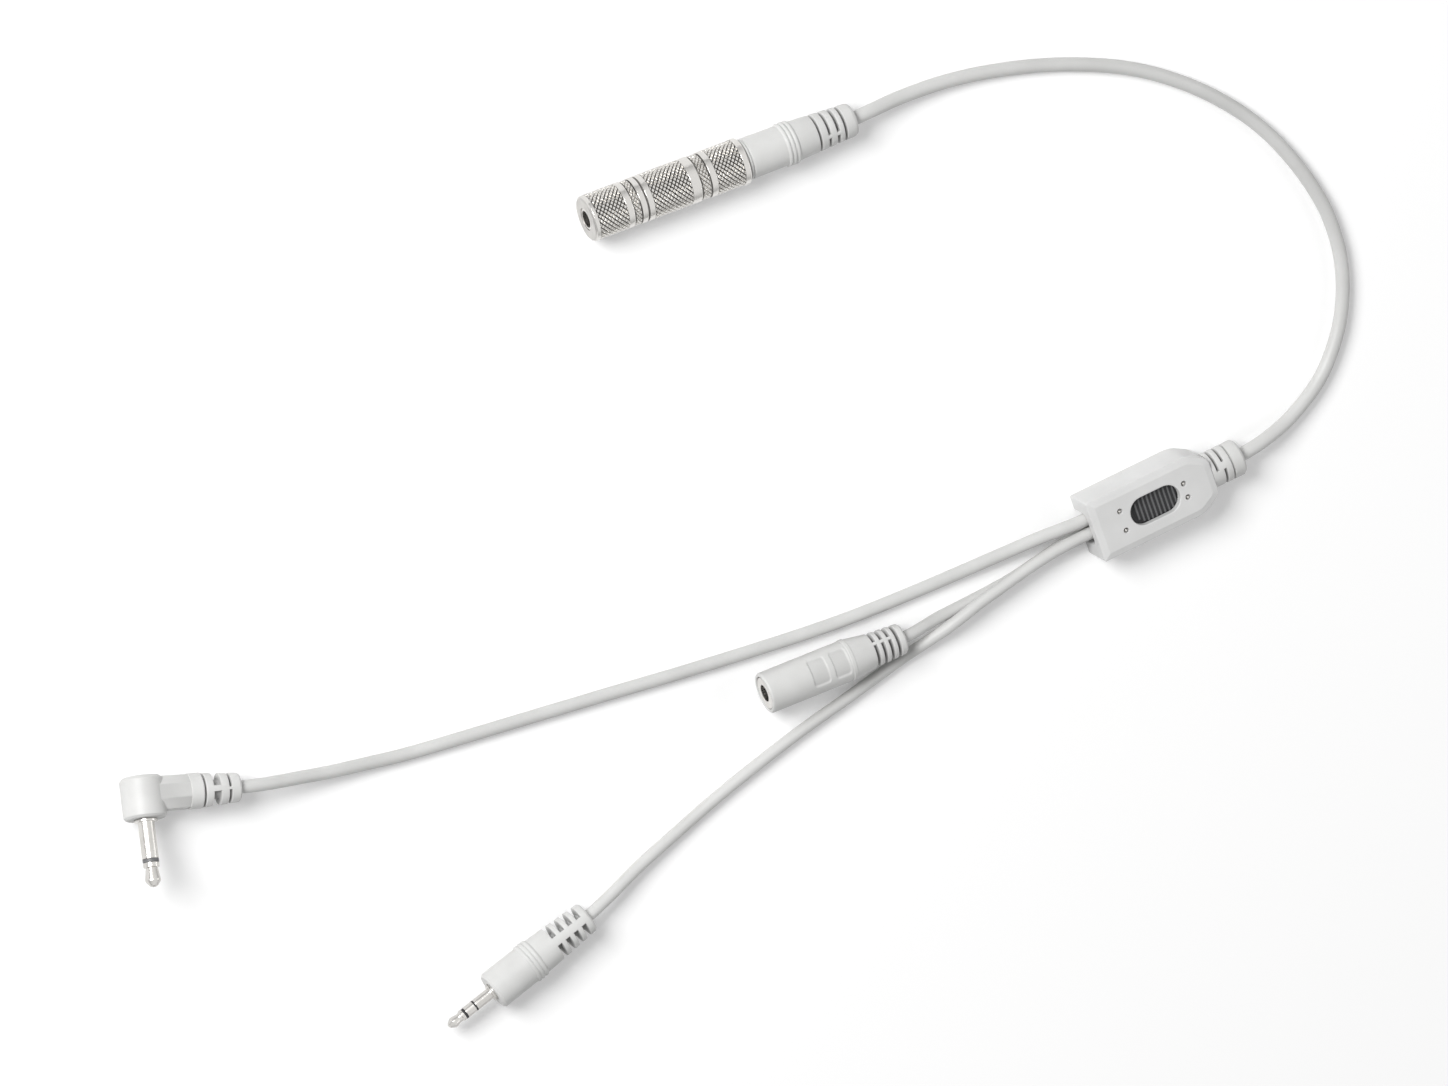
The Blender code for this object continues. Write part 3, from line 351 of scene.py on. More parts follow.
def sunk(inside, depth, ease):
    """How deep a gap is, so far inside its edge: a round at its lip and a small one at its foot."""
    lip = [(inward * ease, drop * ease) for inward, drop in LIP]
    foot = [(inward, max(depth - short, ease)) for inward, short in FOOT]
    steps = [(-FAR, 0.0), *lip, *foot, (FAR, depth)]
    for (a, low), (b, high) in zip(steps, steps[1:]):
        if inside < b:
            return low + (high - low) * (inside - a) / (b - a)
    return depth


def between(*bridges, width):
    """The sectors left between the bridges of a gap, given the angle of each bridge's middle."""
    ends = sorted(bridges)
    return [(a + width / 2, b - width / 2) for a, b in zip(ends, ends[1:] + [ends[0] + 360])]


def inside_sector(turn, first, last, radius):
    """How far inside a sector a point is, measured round the surface, and below 0 when it is outside."""
    width = last - first
    if width > 359:
        return FAR
    shift = (turn - first) % 360
    if shift <= width:
        return min(shift, width - shift) / RADIAN * radius
    return -min(shift - width, 360 - shift) / RADIAN * radius


def gap_depth(point, turn, gaps, radius, ease):
    """How deep the gaps are at one point of a turned piece."""
    down = 0.0
    for start, end, sectors, floor in gaps:
        along = min(point.x - start, end - point.x)
        if along >= -ease and point.y >= floor:
            for first, last in sectors:
                inside = min(along, inside_sector(turn, first, last, radius))
                down = max(down, sunk(inside, point.y - floor, ease))
    return down


def turns_for(angles, gaps, offsets, radius):
    """The angles of a turned piece's points, which are closer together at the ends of its gaps."""
    turns = {round(360 * k / angles, 3) for k in range(angles)}
    for _, _, sectors, _ in gaps:
        for first, last in sectors:
            if last - first < 359:
                turns |= {round((first + inward / radius * RADIAN) % 360, 3) for inward in offsets}
                turns |= {round((last - inward / radius * RADIAN) % 360, 3) for inward in offsets}
    turns = sorted(turns)
    return [turn for turn, after in zip(turns, turns[1:] + [turns[0] + 360]) if after - turn > 0.15]


def lathe(line, angles=96, gaps=(), core=0.0, closed=False, dent=None, ease=0.14):
    """Turns an (x, radius) line round X and sinks gaps into it. A gap is its start, end, sectors and floor
    radius, which is the core's if it gives none. Each point keeps its place along X, its radius and its
    share of depth, for the material: 0 down to 0.1 and 1 from 0.7 millimetres."""
    offsets = [inward * ease for inward, _ in LIP] + [inward for inward, _ in FOOT]
    gaps = [gap if len(gap) > 3 else (*gap, core) for gap in gaps]
    stations = [start + inward for start, *_ in gaps for inward in offsets]
    stations += [end - inward for _, end, *_ in gaps for inward in offsets]
    rows = with_rows(line, stations) if gaps else list(line)
    widest = max(point.y for point in rows)
    turns = turns_for(angles, gaps, offsets, widest)
    bm = bmesh.new()
    marks = bm.verts.layers.float_vector.new("lathe")
    rings = []
    for point in rows:
        ring = []
        for turn in [0.0] if point.y < 1e-6 else turns:
            down = gap_depth(point, turn, gaps, widest, ease)
            if dent:
                down = max(down, dent(point.x, turn))
            radius = max(point.y - down, 0.0)
            vert = bm.verts.new((point.x, radius * sin(radians(turn)), radius * cos(radians(turn))))
            vert[marks] = (point.x, radius, min(max(down - 0.1, 0.0) / 0.6, 1.0))
            ring.append(vert)
        rings.append(ring)
    pairs = list(zip(rings, rings[1:])) + ([(rings[-1], rings[0])] if closed else [])
    for ring, after in pairs:
        count = max(len(ring), len(after))
        for k in range(count if count > 1 else 0):
            j = k + 1
            corners = [ring[k % len(ring)], ring[j % len(ring)], after[j % len(after)], after[k % len(after)]]
            corners = [vert for n, vert in enumerate(corners) if vert not in corners[:n]]
            if len(corners) > 2:
                bm.faces.new(corners)
    bmesh.ops.recalc_face_normals(bm, faces=bm.faces)
    return bm


def seat(name, bm, finish, body, nodes, place=None, crease=40):
    """Makes a piece of a mesh drawn in millimetres, and puts it where it belongs on its body."""
    if place:
        origin, (roll, rise, heading) = place
        turn = Euler((radians(roll), radians(-rise), radians(heading))).to_matrix().to_4x4()
        bmesh.ops.transform(bm, matrix=Matrix.Translation(origin) @ turn, verts=bm.verts)
    bmesh.ops.scale(bm, vec=(MM, MM, MM), verts=bm.verts)
    mesh = bpy.data.meshes.new(name)
    bm.to_mesh(mesh)
    bm.free()
    mesh.materials.append(finish)
    mesh.shade_smooth()
    mesh.set_sharp_from_angle(angle=radians(crease))
    made = placed(name, mesh)
    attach(made, body)
    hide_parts(*nodes)


def humps(start, pitch, count, high, low):
    """Rounded ridges side by side, seen in profile."""
    steps = [(k / 6, sin(pi * k / 6) ** 0.7) for k in range(1, 6)]
    line = [(start, low)]
    for ridge in range(count):
        line += [(start + pitch * (ridge + t), low + (high - low) * rise) for t, rise in steps]
        line.append((start + pitch * (ridge + 1), low))
    return line


def lathe_value(at, part):
    """A piece's own place along its axis, radius, or share of depth, as kept on its points."""
    kept = at.node("ShaderNodeAttribute", {"attribute_name": "lathe"}, out="Vector")
    return at.node("ShaderNodeSeparateXYZ", (), {0: kept}, out=part)


moulded_pvc = bpy.data.materials.new("moulded_pvc")
at = begin(moulded_pvc)
depth = lathe_value(at, "Z")
cloudy = mottled(at, 130.0, 0.3, 0.7)
grain = mottled(at, 7500.0, 0.3, 0.7, detail=2.0)
handled = mottled(at, 500.0, 0.6, 0.74, detail=6.0)
clean = tinted(at, 0.65 * cloudy + 0.35 * grain, (0.57, 0.57, 0.56), (0.64, 0.64, 0.63))
# Painted shade: the gaps' walls and floors darken towards (0.2, 0.2, 0.2) by their share of depth, where shade
# falls in them.
shade = tinted(at, 0.62 * depth, clean, (0.2, 0.2, 0.2))
rough = 0.42 + 0.12 * grain + 0.1 * handled + 0.2 * depth
finished(at, shade, rough, 0.25 * grain + cloudy, 0.000018)

barrel = [(44.2, 0), (44.2, 2.5), (36.3, 2.5), (36.3, 4.25), (36.5, 4.42), (37.3, 4.42)]
barrel += [*humps(45.0, 0.93, 3, 4.7, 4.36), (47.85, 4.28), (52.4, 4.05), (61.0, 3.6), (61.6, 3.3)]
barrel += [(61.6, 1.6), (59.2, 1.6), (59.2, 0)]
gaps = [(36.85, 37.1, [(0, 360)], 4.1)]
gaps += [(start, end, between(130, 270, width=12)) for start, end in ((52.5, 53.0), (58.4, 59.0))]
gaps += [(start, end, between(-11, 169, width=12)) for start, end in ((54.6, 55.2), (56.6, 57.3))]
bm = lathe(eased(barrel), 96, gaps, 2.2, ease=0.22)
seat("lead_plug_body", bm, moulded_pvc, "lead", ["lead_plug_moulding"], COUPLER_PLACE)

# ---------------------------------------------------------------- in-line socket
# The short tail's socket, moulded in the same PVC: a slim body with two shallow thumb pads on each side, a
# tapered relief of four gaps, and a nickelled bush in its mouth.

PADS = ((9.8, 13.7), (14.9, 18.6))
PAD_SIDES = ((-21.0, 63.0), (159.0, 243.0))
PAD_DEPTH, PAD_CORNER, GRIP_RADIUS = 0.25, 0.8, 4.45


def thumb_pad(x, turn):
    """How deep the grip pads are sunk, with rounded corners and a soft edge."""
    down = 0.0
    for start, end in PADS:
        for first, last in PAD_SIDES:
            off = (turn - (first + last) / 2 + 180) % 360 - 180
            half_width = (last - first) / 2 / RADIAN * GRIP_RADIUS
            across = abs(off) / RADIAN * GRIP_RADIUS - half_width + PAD_CORNER
            along = abs(x - (start + end) / 2) - (end - start) / 2 + PAD_CORNER
            out = hypot(max(across, 0), max(along, 0)) + min(max(across, along), 0) - PAD_CORNER
            t = min(max((0.06 - out) / 0.34, 0.0), 1.0)
            down = max(down, PAD_DEPTH * t * t * (3 - 2 * t))
    return down


body = [(21, 0), (21, 3.0), (5, 3.0), (5, 3.65), (0, 3.65), (0, 4.2), (0.35, 4.45), (19.0, 4.45)]
body += [(19.1, 4.6), (19.8, 4.6), (19.9, 4.45), (24.9, 3.75), (32.0, 3.35), (32.4, 3.0)]
body += [(32.4, 1.4), (31.0, 1.4), (31.0, 0)]
bridges = [(39, 219), (39, 219), (39, 219), (130, 270)]
gaps = [(25.0 + 1.7 * k, 25.75 + 1.7 * k, between(*pair, width=12)) for k, pair in enumerate(bridges)]
fine = with_rows(eased(body), [9.5 + 0.12 * k for k in range(80)])
bm = lathe(fine, 128, gaps, 1.8, dent=thumb_pad, ease=0.2)
seat("inline_socket_body", bm, moulded_pvc, "lead", ["inline_jack_moulding"], JACK_PLACE)

# ---------------------------------------------------------------- straight plug
# The thin plug on the third tail: a short moulded barrel, three grip ridges and a relief of four wide gaps
# either side of a spine.

barrel = [(6.6, 0), (6.6, 2.0), (0, 2.0), (0, 3.8), (0.5, 4.25), *humps(9.0, 0.93, 3, 4.47, 4.2)]
barrel += [(11.9, 4.1), (16.1, 3.95), (25.1, 3.45), (25.5, 3.1), (25.5, 1.4), (24.0, 1.4), (24.0, 0)]
gaps = [(16.2 + 2.18 * k, 17.29 + 2.18 * k, between(24.5, 204.5, width=30)) for k in range(4)]
bm = lathe(eased(barrel), 96, gaps, 1.8)
seat("straight_plug_body", bm, moulded_pvc, "lead", ["straight_plug_moulding"], STRAIGHT_PLACE)

# ---------------------------------------------------------------- coupler
# A nickelled brass shell with three knurled bands between plain lands and grooves, which screws over an
# insulating core; the core holds a bush at each end. The knurl is rolled: Geometry Nodes lay out its
# diamonds flat and wrap them round the shell.


def size_tree(name, sizes):
    """A Geometry Nodes tree with a named input for each size, its first handle, and its inputs' handles."""
    tree = bpy.data.node_groups.new(name, "GeometryNodeTree")
    tree.interface.new_socket("Geometry", in_out="INPUT", socket_type="NodeSocketGeometry")
    for size, kind in sizes.items():
        tree.interface.new_socket(size, in_out="INPUT", socket_type="NodeSocket" + kind)
    tree.interface.new_socket("Geometry", in_out="OUTPUT", socket_type="NodeSocketGeometry")
    start = tree.nodes.new("NodeGroupInput")
    return Socket(tree), {size: Socket(tree, start.outputs[size]) for size in sizes}


def grown(at, values):
    """Runs a tree with its inputs set, and gives the plain mesh that it makes as a bmesh in millimetres."""
    holder = placed("growing", bpy.data.meshes.new("growing"))
    modifier = holder.modifiers.new("growing", "NODES")
    modifier.node_group = at.tree
    for item in at.tree.interface.items_tree:
        if item.in_out == "INPUT" and item.name in values:
            modifier[item.identifier] = values[item.name]
    seen = bpy.context.evaluated_depsgraph_get()
    mesh = bpy.data.meshes.new_from_object(holder.evaluated_get(seen))
    bm = bmesh.new()
    bm.from_mesh(mesh)
    holder.modifiers.remove(modifier)
    bpy.data.objects.remove(holder)
    bpy.data.meshes.remove(mesh)
    return bm


def vector(at, **parts):
    """A vector from its parts along X, Y and Z."""
    return at.node("ShaderNodeCombineXYZ", (), parts)


at, size = size_tree("rolled_knurl", {
    "Start": "Float", "Rows": "Int", "Pitch": "Float", "Around": "Int", "Radius": "Float", "Depth": "Float",
    "Finish": "Material"})
wide = size["Radius"] * (2 * pi) * (1.0 / size["Around"])
long = size["Pitch"] * (size["Rows"] - 1)
spread = at.node("GeometryNodeMeshGrid", (), {
    "Size X": long, "Size Y": wide * (size["Around"] - 1),
    "Vertices X": size["Rows"], "Vertices Y": size["Around"]})
half = vector(at, X=size["Pitch"] * 0.5, Y=wide * 0.5)
between_rows = at.node("GeometryNodeTransform", (), {"Geometry": spread, "Translation": half})
lattice = at.node("GeometryNodeJoinGeometry", (), {0: [spread, between_rows]})
shape = {"Vertices": 4, "Radius Top": 0.33, "Radius Bottom": 0.5, "Depth": 1.0}
diamond, foot = at.node("GeometryNodeMeshCone", {"fill_type": "NGON"}, shape, out=("Mesh", "Bottom"))
diamond = at.node("GeometryNodeDeleteGeometry", {"domain": "FACE"}, {"Geometry": diamond, "Selection": foot})
scale = vector(at, X=size["Pitch"], Y=wide, Z=size["Depth"])
sheet = at.node("GeometryNodeInstanceOnPoints", (), {"Points": lattice, "Instance": diamond, "Scale": scale})
sheet = at.node("GeometryNodeRealizeInstances", (), {"Geometry": sheet})
sheet = at.node("GeometryNodeMergeByDistance", (), {"Geometry": sheet, "Distance": 0.01})
flat = at.node("GeometryNodeInputPosition")
along, across, rise = at.node("ShaderNodeSeparateXYZ", (), {0: flat}, out=("X", "Y", "Z"))
turn = across * (1.0 / size["Radius"])
out = size["Radius"] - size["Depth"] + rise
place = size["Start"] + along + long * 0.5
wrapped = vector(at, X=place, Y=out * at.math("SINE", turn), Z=out * at.math("COSINE", turn))
sheet = at.node("GeometryNodeSetPosition", (), {"Geometry": sheet, "Position": wrapped})
sheet = at.node("GeometryNodeMergeByDistance", (), {"Geometry": sheet, "Distance": 0.01})
sheet = at.node("GeometryNodeSetMaterial", (), {"Geometry": sheet, "Material": size["Finish"]})
at.node("NodeGroupOutput", (), {"Geometry": sheet})
knurl_tree = at


def added(bm, extra):
    """Puts the faces of another mesh into a mesh."""
    holder = bpy.data.meshes.new("extra")
    extra.to_mesh(holder)
    extra.free()
    bm.from_mesh(holder)
    bpy.data.meshes.remove(holder)


def knurled(start, end, radius, depth, around, pitch, inner):
    """A closed ring of rolled knurl, cut square at both ends."""
    bm = grown(knurl_tree, {
        "Start": start - pitch, "Rows": ceil((end - start) / pitch) + 3, "Pitch": pitch, "Around": around,
        "Radius": radius, "Depth": depth, "Finish": nickel})
    for x, side in ((start, -1), (end, 1)):
        whole = [*bm.verts, *bm.edges, *bm.faces]
        plane = {"plane_co": (x, 0, 0), "plane_no": (side, 0, 0)}
        bmesh.ops.bisect_plane(bm, geom=whole, dist=1e-4, clear_outer=True, **plane)
    open_edges = [edge for edge in bm.edges if edge.is_boundary]
    rims = [[edge for edge in open_edges if abs(edge.verts[0].co.x - x) < 0.01] for x in (start, end)]
    loops = []
    for rim in rims:
        low = dict.fromkeys(vert for edge in rim for vert in edge.verts)
        for vert in low:
            low[vert] = bm.verts.new((vert.co.x, *(vert.co.yz.normalized() * inner)))
        for edge in rim:
            a, b = edge.verts
            bm.faces.new((a, b, low[b], low[a]))
            loops.append(bm.edges.get((low[a], low[b])))
    bmesh.ops.bridge_loops(bm, edges=loops)
    return bm


def plated(name, shade_radii=None):
    """Bright nickel over turned brass: fine rings from the lathe and faint handling marks. Given two radii,
    shade is painted dark below the first, fading out by the second: in the grooves, knurl valleys and bore, and
    at 0.3 on the front face."""
    finish = bpy.data.materials.new(name)
    at = begin(finish)
    along = lathe_value(at, "X")
    sockets = {"W": along * 14.0, "Scale": 1.0, "Detail": 4.0}
    rings = at.node("ShaderNodeTexNoise", {"noise_dimensions": "1D"}, sockets)
    cloudy = mottled(at, 260.0, 0.35, 0.7, detail=4.0)
    marks = mottled(at, 900.0, 0.6, 0.78, detail=6.0)
    if shade_radii:
        # Painted shade: below the given radii the nickel darkens towards (0.07, 0.066, 0.062), a little
        # mottled, and only 0.3 of it on the front face.
        kept = 0.3 + 0.7 * along.clear(0.6, 1.2)
        painted_shade = kept * (1.0 - lathe_value(at, "Y").clear(*shade_radii)) * (0.7 + 0.3 * cloudy)
        shade = tinted(at, painted_shade, (0.7, 0.685, 0.66), (0.07, 0.066, 0.062))
        rough = 0.2 + 0.08 * rings + 0.1 * marks + 0.3 * painted_shade
    else:
        shade = tinted(at, 0.7 * cloudy, (0.66, 0.645, 0.62), (0.58, 0.565, 0.54))
        rough = 0.2 + 0.1 * rings + 0.12 * marks
    finished(at, shade, rough, rings, 0.000006, Metallic=1.0)
    return finish


# The coupler's nickel gets shade painted in below 4.62 mm radius, fading out by 4.84 mm.
nickel = plated("rolled_nickel", shade_radii=(4.62, 4.84))
bright_nickel = plated("bright_nickel")
FULL, GROOVE, BAND_FLOOR, INNER = 4.95, 4.5, 4.42, 3.9
DIAMONDS, KNURL_BORE = 26, 4.35
shell = [(0, 2.45), (0, 4.5), (0.42, 4.93), (1.15, FULL), (1.15, BAND_FLOOR), (7.75, BAND_FLOOR), (7.75, FULL)]
shell += [(9.1, FULL), (9.1, GROOVE), (10.9, GROOVE), (10.9, FULL), (12.1, FULL), (12.1, 4.6), (12.5, 4.6)]
shell += [(12.5, FULL), (13.75, FULL), (13.75, BAND_FLOOR), (22.55, BAND_FLOOR), (22.55, FULL), (24.6, FULL)]
shell += [(24.6, GROOVE), (27.0, GROOVE), (27.0, FULL), (28.35, FULL), (28.35, BAND_FLOOR), (34.65, BAND_FLOOR)]
shell += [(34.65, 5.05), (35.75, 5.05), (36.0, 4.85), (36.0, INNER), (1.2, INNER), (1.2, 2.45)]
bm = lathe(eased(shell + [shell[0]], 0.1)[:-1], 96, closed=True)
marks = bm.verts.layers.float_vector["lathe"]
BANDS = [(start, end, FULL, 0.38, 0.96) for start, end in ((1.2, 7.7), (13.8, 22.5), (28.4, 34.6))]
BANDS += [(9.35, 10.65, 4.82, 0.26, 0.75), (24.95, 26.65, 4.82, 0.26, 0.85)]
for start, end, radius, depth, pitch in BANDS:
    count = len(bm.verts)
    added(bm, knurled(start, end, radius, depth, DIAMONDS, pitch, KNURL_BORE))
    bm.verts.ensure_lookup_table()
    # Each knurled band keeps its radius as if it were full size, so the painted shade darkens all the bands'
    # valleys alike.
    for vert in bm.verts[count:]:
        vert[marks] = (vert.co.x, vert.co.yz.length + FULL - radius, 0.0)
bmesh.ops.recalc_face_normals(bm, faces=bm.faces)
seat("coupler_knurled_shell", bm, nickel, "coupler", ["coupler_shell"], COUPLER_PLACE, crease=30)


def bush(line, ease):
    """A turned bush from its outline, which is closed."""
    return lathe(eased([*line, line[0]], ease)[:-1], 64, closed=True)


bm = bush([(0.1, 1.85), (0.1, 2.38), (5.0, 2.38), (5.0, 1.85)], 0.12)
seat("coupler_front_bush", bm, bright_nickel, "coupler", ["front_socket_bush"], COUPLER_PLACE)
bm = bush([(31.2, 1.85), (31.2, 2.25), (35.5, 2.25), (35.5, 1.85)], 0.1)
seat("coupler_rear_bush", bm, bright_nickel, "coupler", ["rear_socket_bush"], COUPLER_PLACE)

# ---------------------------------------------------------------- switch box
# A two-part box moulded in pale ABS: a cover with a shallow slope round its top and two corners cut away,
# over a flat base. Four drive pins pass through small sunk holes into the base's posts, and the switch's
# thumb piece slides in the oval window.

BOX, CUT, TOP = (28.8, 13.7), (4.6, 2.6), 9.0

# How far back from a corner its round starts, at the tails' end and at the strain relief's.
SQUARE_END, CUT_END = 0.6, 2.6


def plan(inset):
    """The box's outline, drawn in by an inset, with its corners rounded."""
    length, width = BOX[0] / 2 - inset, BOX[1] / 2 - inset
    slope = Vector((CUT[1], CUT[0])).normalized()
    reach = slope.dot(Vector((BOX[0] / 2 - CUT[0], BOX[1] / 2))) - inset
    side, end = ((reach - slope.y * width) / slope.x, width), (length, (reach - slope.x * length) / slope.y)
    half = [(-length, width), side, end]
    corners = [Vector(point) for point in half + [(x, -y) for x, y in reversed(half)]]
    out = []
    for before, corner, after in zip(corners[-1:] + corners, corners, corners[1:] + corners[:1]):
        ease = max((SQUARE_END if corner.x < 0 else CUT_END) - 0.8 * inset, 0.25) * 0.6
        start = corner.lerp(before, ease / (before - corner).length)
        stop = corner.lerp(after, ease / (after - corner).length)
        out += arc(start, corner, stop, steps=6)
    return out


def oval(length, width, steps=16):
    """A slot's outline with round ends, along X."""
    reach = (length - width) / 2
    turns = [-pi / 2 + pi * k / steps for k in range(steps + 1)]
    right = [(reach + cos(a) * width / 2, sin(a) * width / 2) for a in turns]
    return [Vector(point) for point in right + [(-x, -y) for x, y in right]]


def ring_of(bm, outline, z):
    """Points of a mesh along an outline, at one height."""
    return [bm.verts.new((point[0], point[1], z)) for point in outline]


def walls(bm, rings):
    """Joins rings of points into a wall."""
    for ring, after in zip(rings, rings[1:]):
        for k in range(len(ring)):
            j = (k + 1) % len(ring)
            bm.faces.new((ring[k], ring[j], after[j], after[k]))
    return rings


def filled(bm, *rings):
    """Fills a flat face between an outline and the holes in it."""
    edges = [bm.edges.get((ring[k], ring[k - 1])) for ring in rings for k in range(len(ring))]
    bmesh.ops.triangle_fill(bm, edges=edges, use_beauty=True)


def cut_by(bm, *cutters, operation="DIFFERENCE"):
    """Takes closed meshes away from a mesh, or joins them to it, by exact Booleans."""
    base = placed("cut", bpy.data.meshes.new("cut"))
    bm.to_mesh(base.data)
    bm.free()
    holders = []
    for cutter in cutters:
        bmesh.ops.recalc_face_normals(cutter, faces=cutter.faces)
        holder = placed("cutter", bpy.data.meshes.new("cutter"))
        cutter.to_mesh(holder.data)
        cutter.free()
        modifier = base.modifiers.new("cut", "BOOLEAN")
        modifier.object, modifier.solver, modifier.operation = holder, "EXACT", operation
        holders.append(holder)
    mesh = bpy.data.meshes.new_from_object(base.evaluated_get(bpy.context.evaluated_depsgraph_get()))
    out = bmesh.new()
    out.from_mesh(mesh)
    for holder in (*holders, base):
        bpy.data.objects.remove(holder)
    bpy.data.meshes.remove(mesh)
    return out


def sloped_cutter(outline_at, levels):
    """A closed cutter through rings of (offset, place)."""
    bm = bmesh.new()
    rings = [[bm.verts.new(point) for point in outline_at(offset, place)] for offset, place in levels]
    walls(bm, rings)
    bm.faces.new(rings[0])
    bm.faces.new(rings[-1])
    return bm


PINS = ((-7.9, 2.25), (-7.9, -2.25), (7.4, 1.6), (7.4, -1.6))


def pin_hole(x, y, offset):
    """The outline of a drive pin's hole."""
    radius = 0.6 + offset
    return [(x + radius * cos(pi * k / 12), y + radius * sin(pi * k / 12)) for k in range(24)]


bm = bmesh.new()
side = eased([(1.2, 0), (0, 0), (0, 8.5), (1.5, TOP), (2.6, TOP)], 0.2)
outside = walls(bm, [ring_of(bm, plan(inset), z) for inset, z in side])
inside = walls(bm, [outside[0], ring_of(bm, plan(1.2), 7.5)])
lip = eased([(0.6, TOP), (0, TOP), (0, 7.5)], 0.22)
window = walls(bm, [ring_of(bm, oval(11.8 + 2 * offset, 6.2 + 2 * offset), z) for offset, z in lip])
holes = [walls(bm, [ring_of(bm, pin_hole(x, y, offset * 0.4), z) for offset, z in lip]) for x, y in PINS]
filled(bm, outside[-1], window[0], *(hole[0] for hole in holes))
filled(bm, inside[-1], window[-1], *(hole[-1] for hole in holes))
bmesh.ops.recalc_face_normals(bm, faces=bm.faces)


def notch(offset, x):
    """The tails' notch: an arch with rounded shoulders, open downwards."""
    radius = 1.4 + offset
    points = [(-3.6 - offset, -1.0), (3.6 + offset, -1.0)]
    for middle, turns in ((2.2, range(0, 7)), (-2.2, range(6, 13))):
        points += [(middle + radius * cos(pi * k / 12), 4.5 + radius * sin(pi * k / 12)) for k in turns]
    return [(x, y, z) for y, z in points]


def neck_hole(offset, x):
    """The strain relief's notch: round above its axis, straight down below."""
    radius = 2.85 + offset
    points = [(radius * cos(pi * k / 16), 4.5 + radius * sin(pi * k / 16)) for k in range(17)]
    return [(x, y, z) for y, z in [*points, (-radius, -1.0), (radius, -1.0)]]


NOTCH_LIP = ((0.42, -14.6), (0.22, -14.4), (0.07, -14.25), (0.0, -14.05), (0.0, -12.2))
NECK_LIP = ((0.3, 14.6), (0.15, 14.4), (0.04, 14.25), (0.0, 14.1), (0.0, 12.2))
bm = cut_by(bm, sloped_cutter(notch, NOTCH_LIP), sloped_cutter(neck_hole, NECK_LIP))

case_plastic = bpy.data.materials.new("moulded_case")
at = begin(case_plastic)
cloudy = mottled(at, 110.0, 0.3, 0.7)
spark = mottled(at, 9000.0, 0.35, 0.65, detail=2.0)
rubbed_sheen = mottled(at, 380.0, 0.58, 0.75, detail=6.0)
shade = tinted(at, 0.6 * cloudy + 0.4 * spark, (0.63, 0.63, 0.625), (0.69, 0.69, 0.685))
finished(at, shade, 0.36 + 0.14 * spark - 0.1 * rubbed_sheen, 0.3 * spark + cloudy, 0.00002)
seat("switch_box_cover", bm, case_plastic, "lead", ["case_cover"], crease=35)

head = eased([(0, 4.0), (0.7, 4.0), (0.7, 7.9), (0.3, 7.95), (0.3, 8.75), (0.2, 8.87), (0, 8.9)], 0.05)
bm = bmesh.new()
for x, y in PINS:
    drive = lathe([Vector((z, radius)) for radius, z in head], 32)
    upright = Matrix.Translation((x, y, 0)) @ Matrix.Rotation(-pi / 2, 4, "Y")
    bmesh.ops.transform(drive, matrix=upright, verts=drive.verts)
    added(bm, drive)
seat("cover_drive_pins", bm, bright_nickel, "lead", [f"cover_pin_{number}" for number in range(1, 5)])

# ---------------------------------------------------------------- thumb piece
# The switch's black thumb piece: a flange under the cover and an oval pad with ten ribs across it, which
# Geometry Nodes cut to the pad's round ends.

dark_plastic = bpy.data.materials.new("black_moulding")
at = begin(dark_plastic)
spark = mottled(at, 4200.0, 0.35, 0.65, detail=2.0)
worn = mottled(at, 600.0, 0.5, 0.75, detail=5.0)
level = at.node("ShaderNodeSeparateXYZ", (), {0: at.node("ShaderNodeTexCoord", out="Object")}, out="Z")
# Partly wear, partly painted highlight: above 7.45 mm, on the tops of the thumb piece's ribs, the colour is
# painted lighter towards (0.16, 0.16, 0.165) and the surface is less rough.
rubbed_sheen = level.clear(0.00745, 0.00772) * (0.75 + 0.25 * worn)
shade = tinted(at, 0.5 * spark + 0.5 * worn, (0.014, 0.014, 0.015), (0.035, 0.035, 0.037))
shade = tinted(at, rubbed_sheen, shade, (0.16, 0.16, 0.165))
finished(at, shade, 0.48 + 0.18 * spark - 0.16 * rubbed_sheen, spark, 0.000012)

at, size = size_tree("thumb_ribs", {
    "Count": "Int", "Pitch": "Float", "Length": "Float", "Width": "Float", "Bottom": "Float",
    "Finish": "Material"})
reach = size["Pitch"] * (size["Count"] - 1) * 0.5
step = vector(at, X=size["Pitch"])
back = vector(at, X=reach * -1.0, Z=size["Bottom"])
row = at.node("GeometryNodeMeshLine", (), {"Count": size["Count"], "Offset": step})
row = at.node("GeometryNodeTransform", (), {"Geometry": row, "Translation": back})
along = at.node("ShaderNodeSeparateXYZ", (), {0: at.node("GeometryNodeInputPosition")}, out="X")
past = at.math("MAXIMUM", at.math("ABSOLUTE", along) - (size["Length"] - size["Width"]) * 0.5, 0.0)
half = size["Width"] * 0.5
wide = at.math("SQRT", at.math("MAXIMUM", half * half - past * past, 0.05)) * 2.0
rib = at.node("GeometryNodeMeshCylinder", {"fill_type": "NGON"}, {"Vertices": 12, "Radius": 0.5, "Depth": 1.0})
scale = vector(at, X=size["Pitch"] * 0.64, Y=1.1, Z=wide)
ribs = at.node("GeometryNodeInstanceOnPoints", (), {
    "Points": row, "Instance": rib, "Rotation": (pi / 2, 0.0, 0.0), "Scale": scale})
ribs = at.node("GeometryNodeRealizeInstances", (), {"Geometry": ribs})
ribs = at.node("GeometryNodeSetMaterial", (), {"Geometry": ribs, "Material": size["Finish"]})
at.node("NodeGroupOutput", (), {"Geometry": ribs})


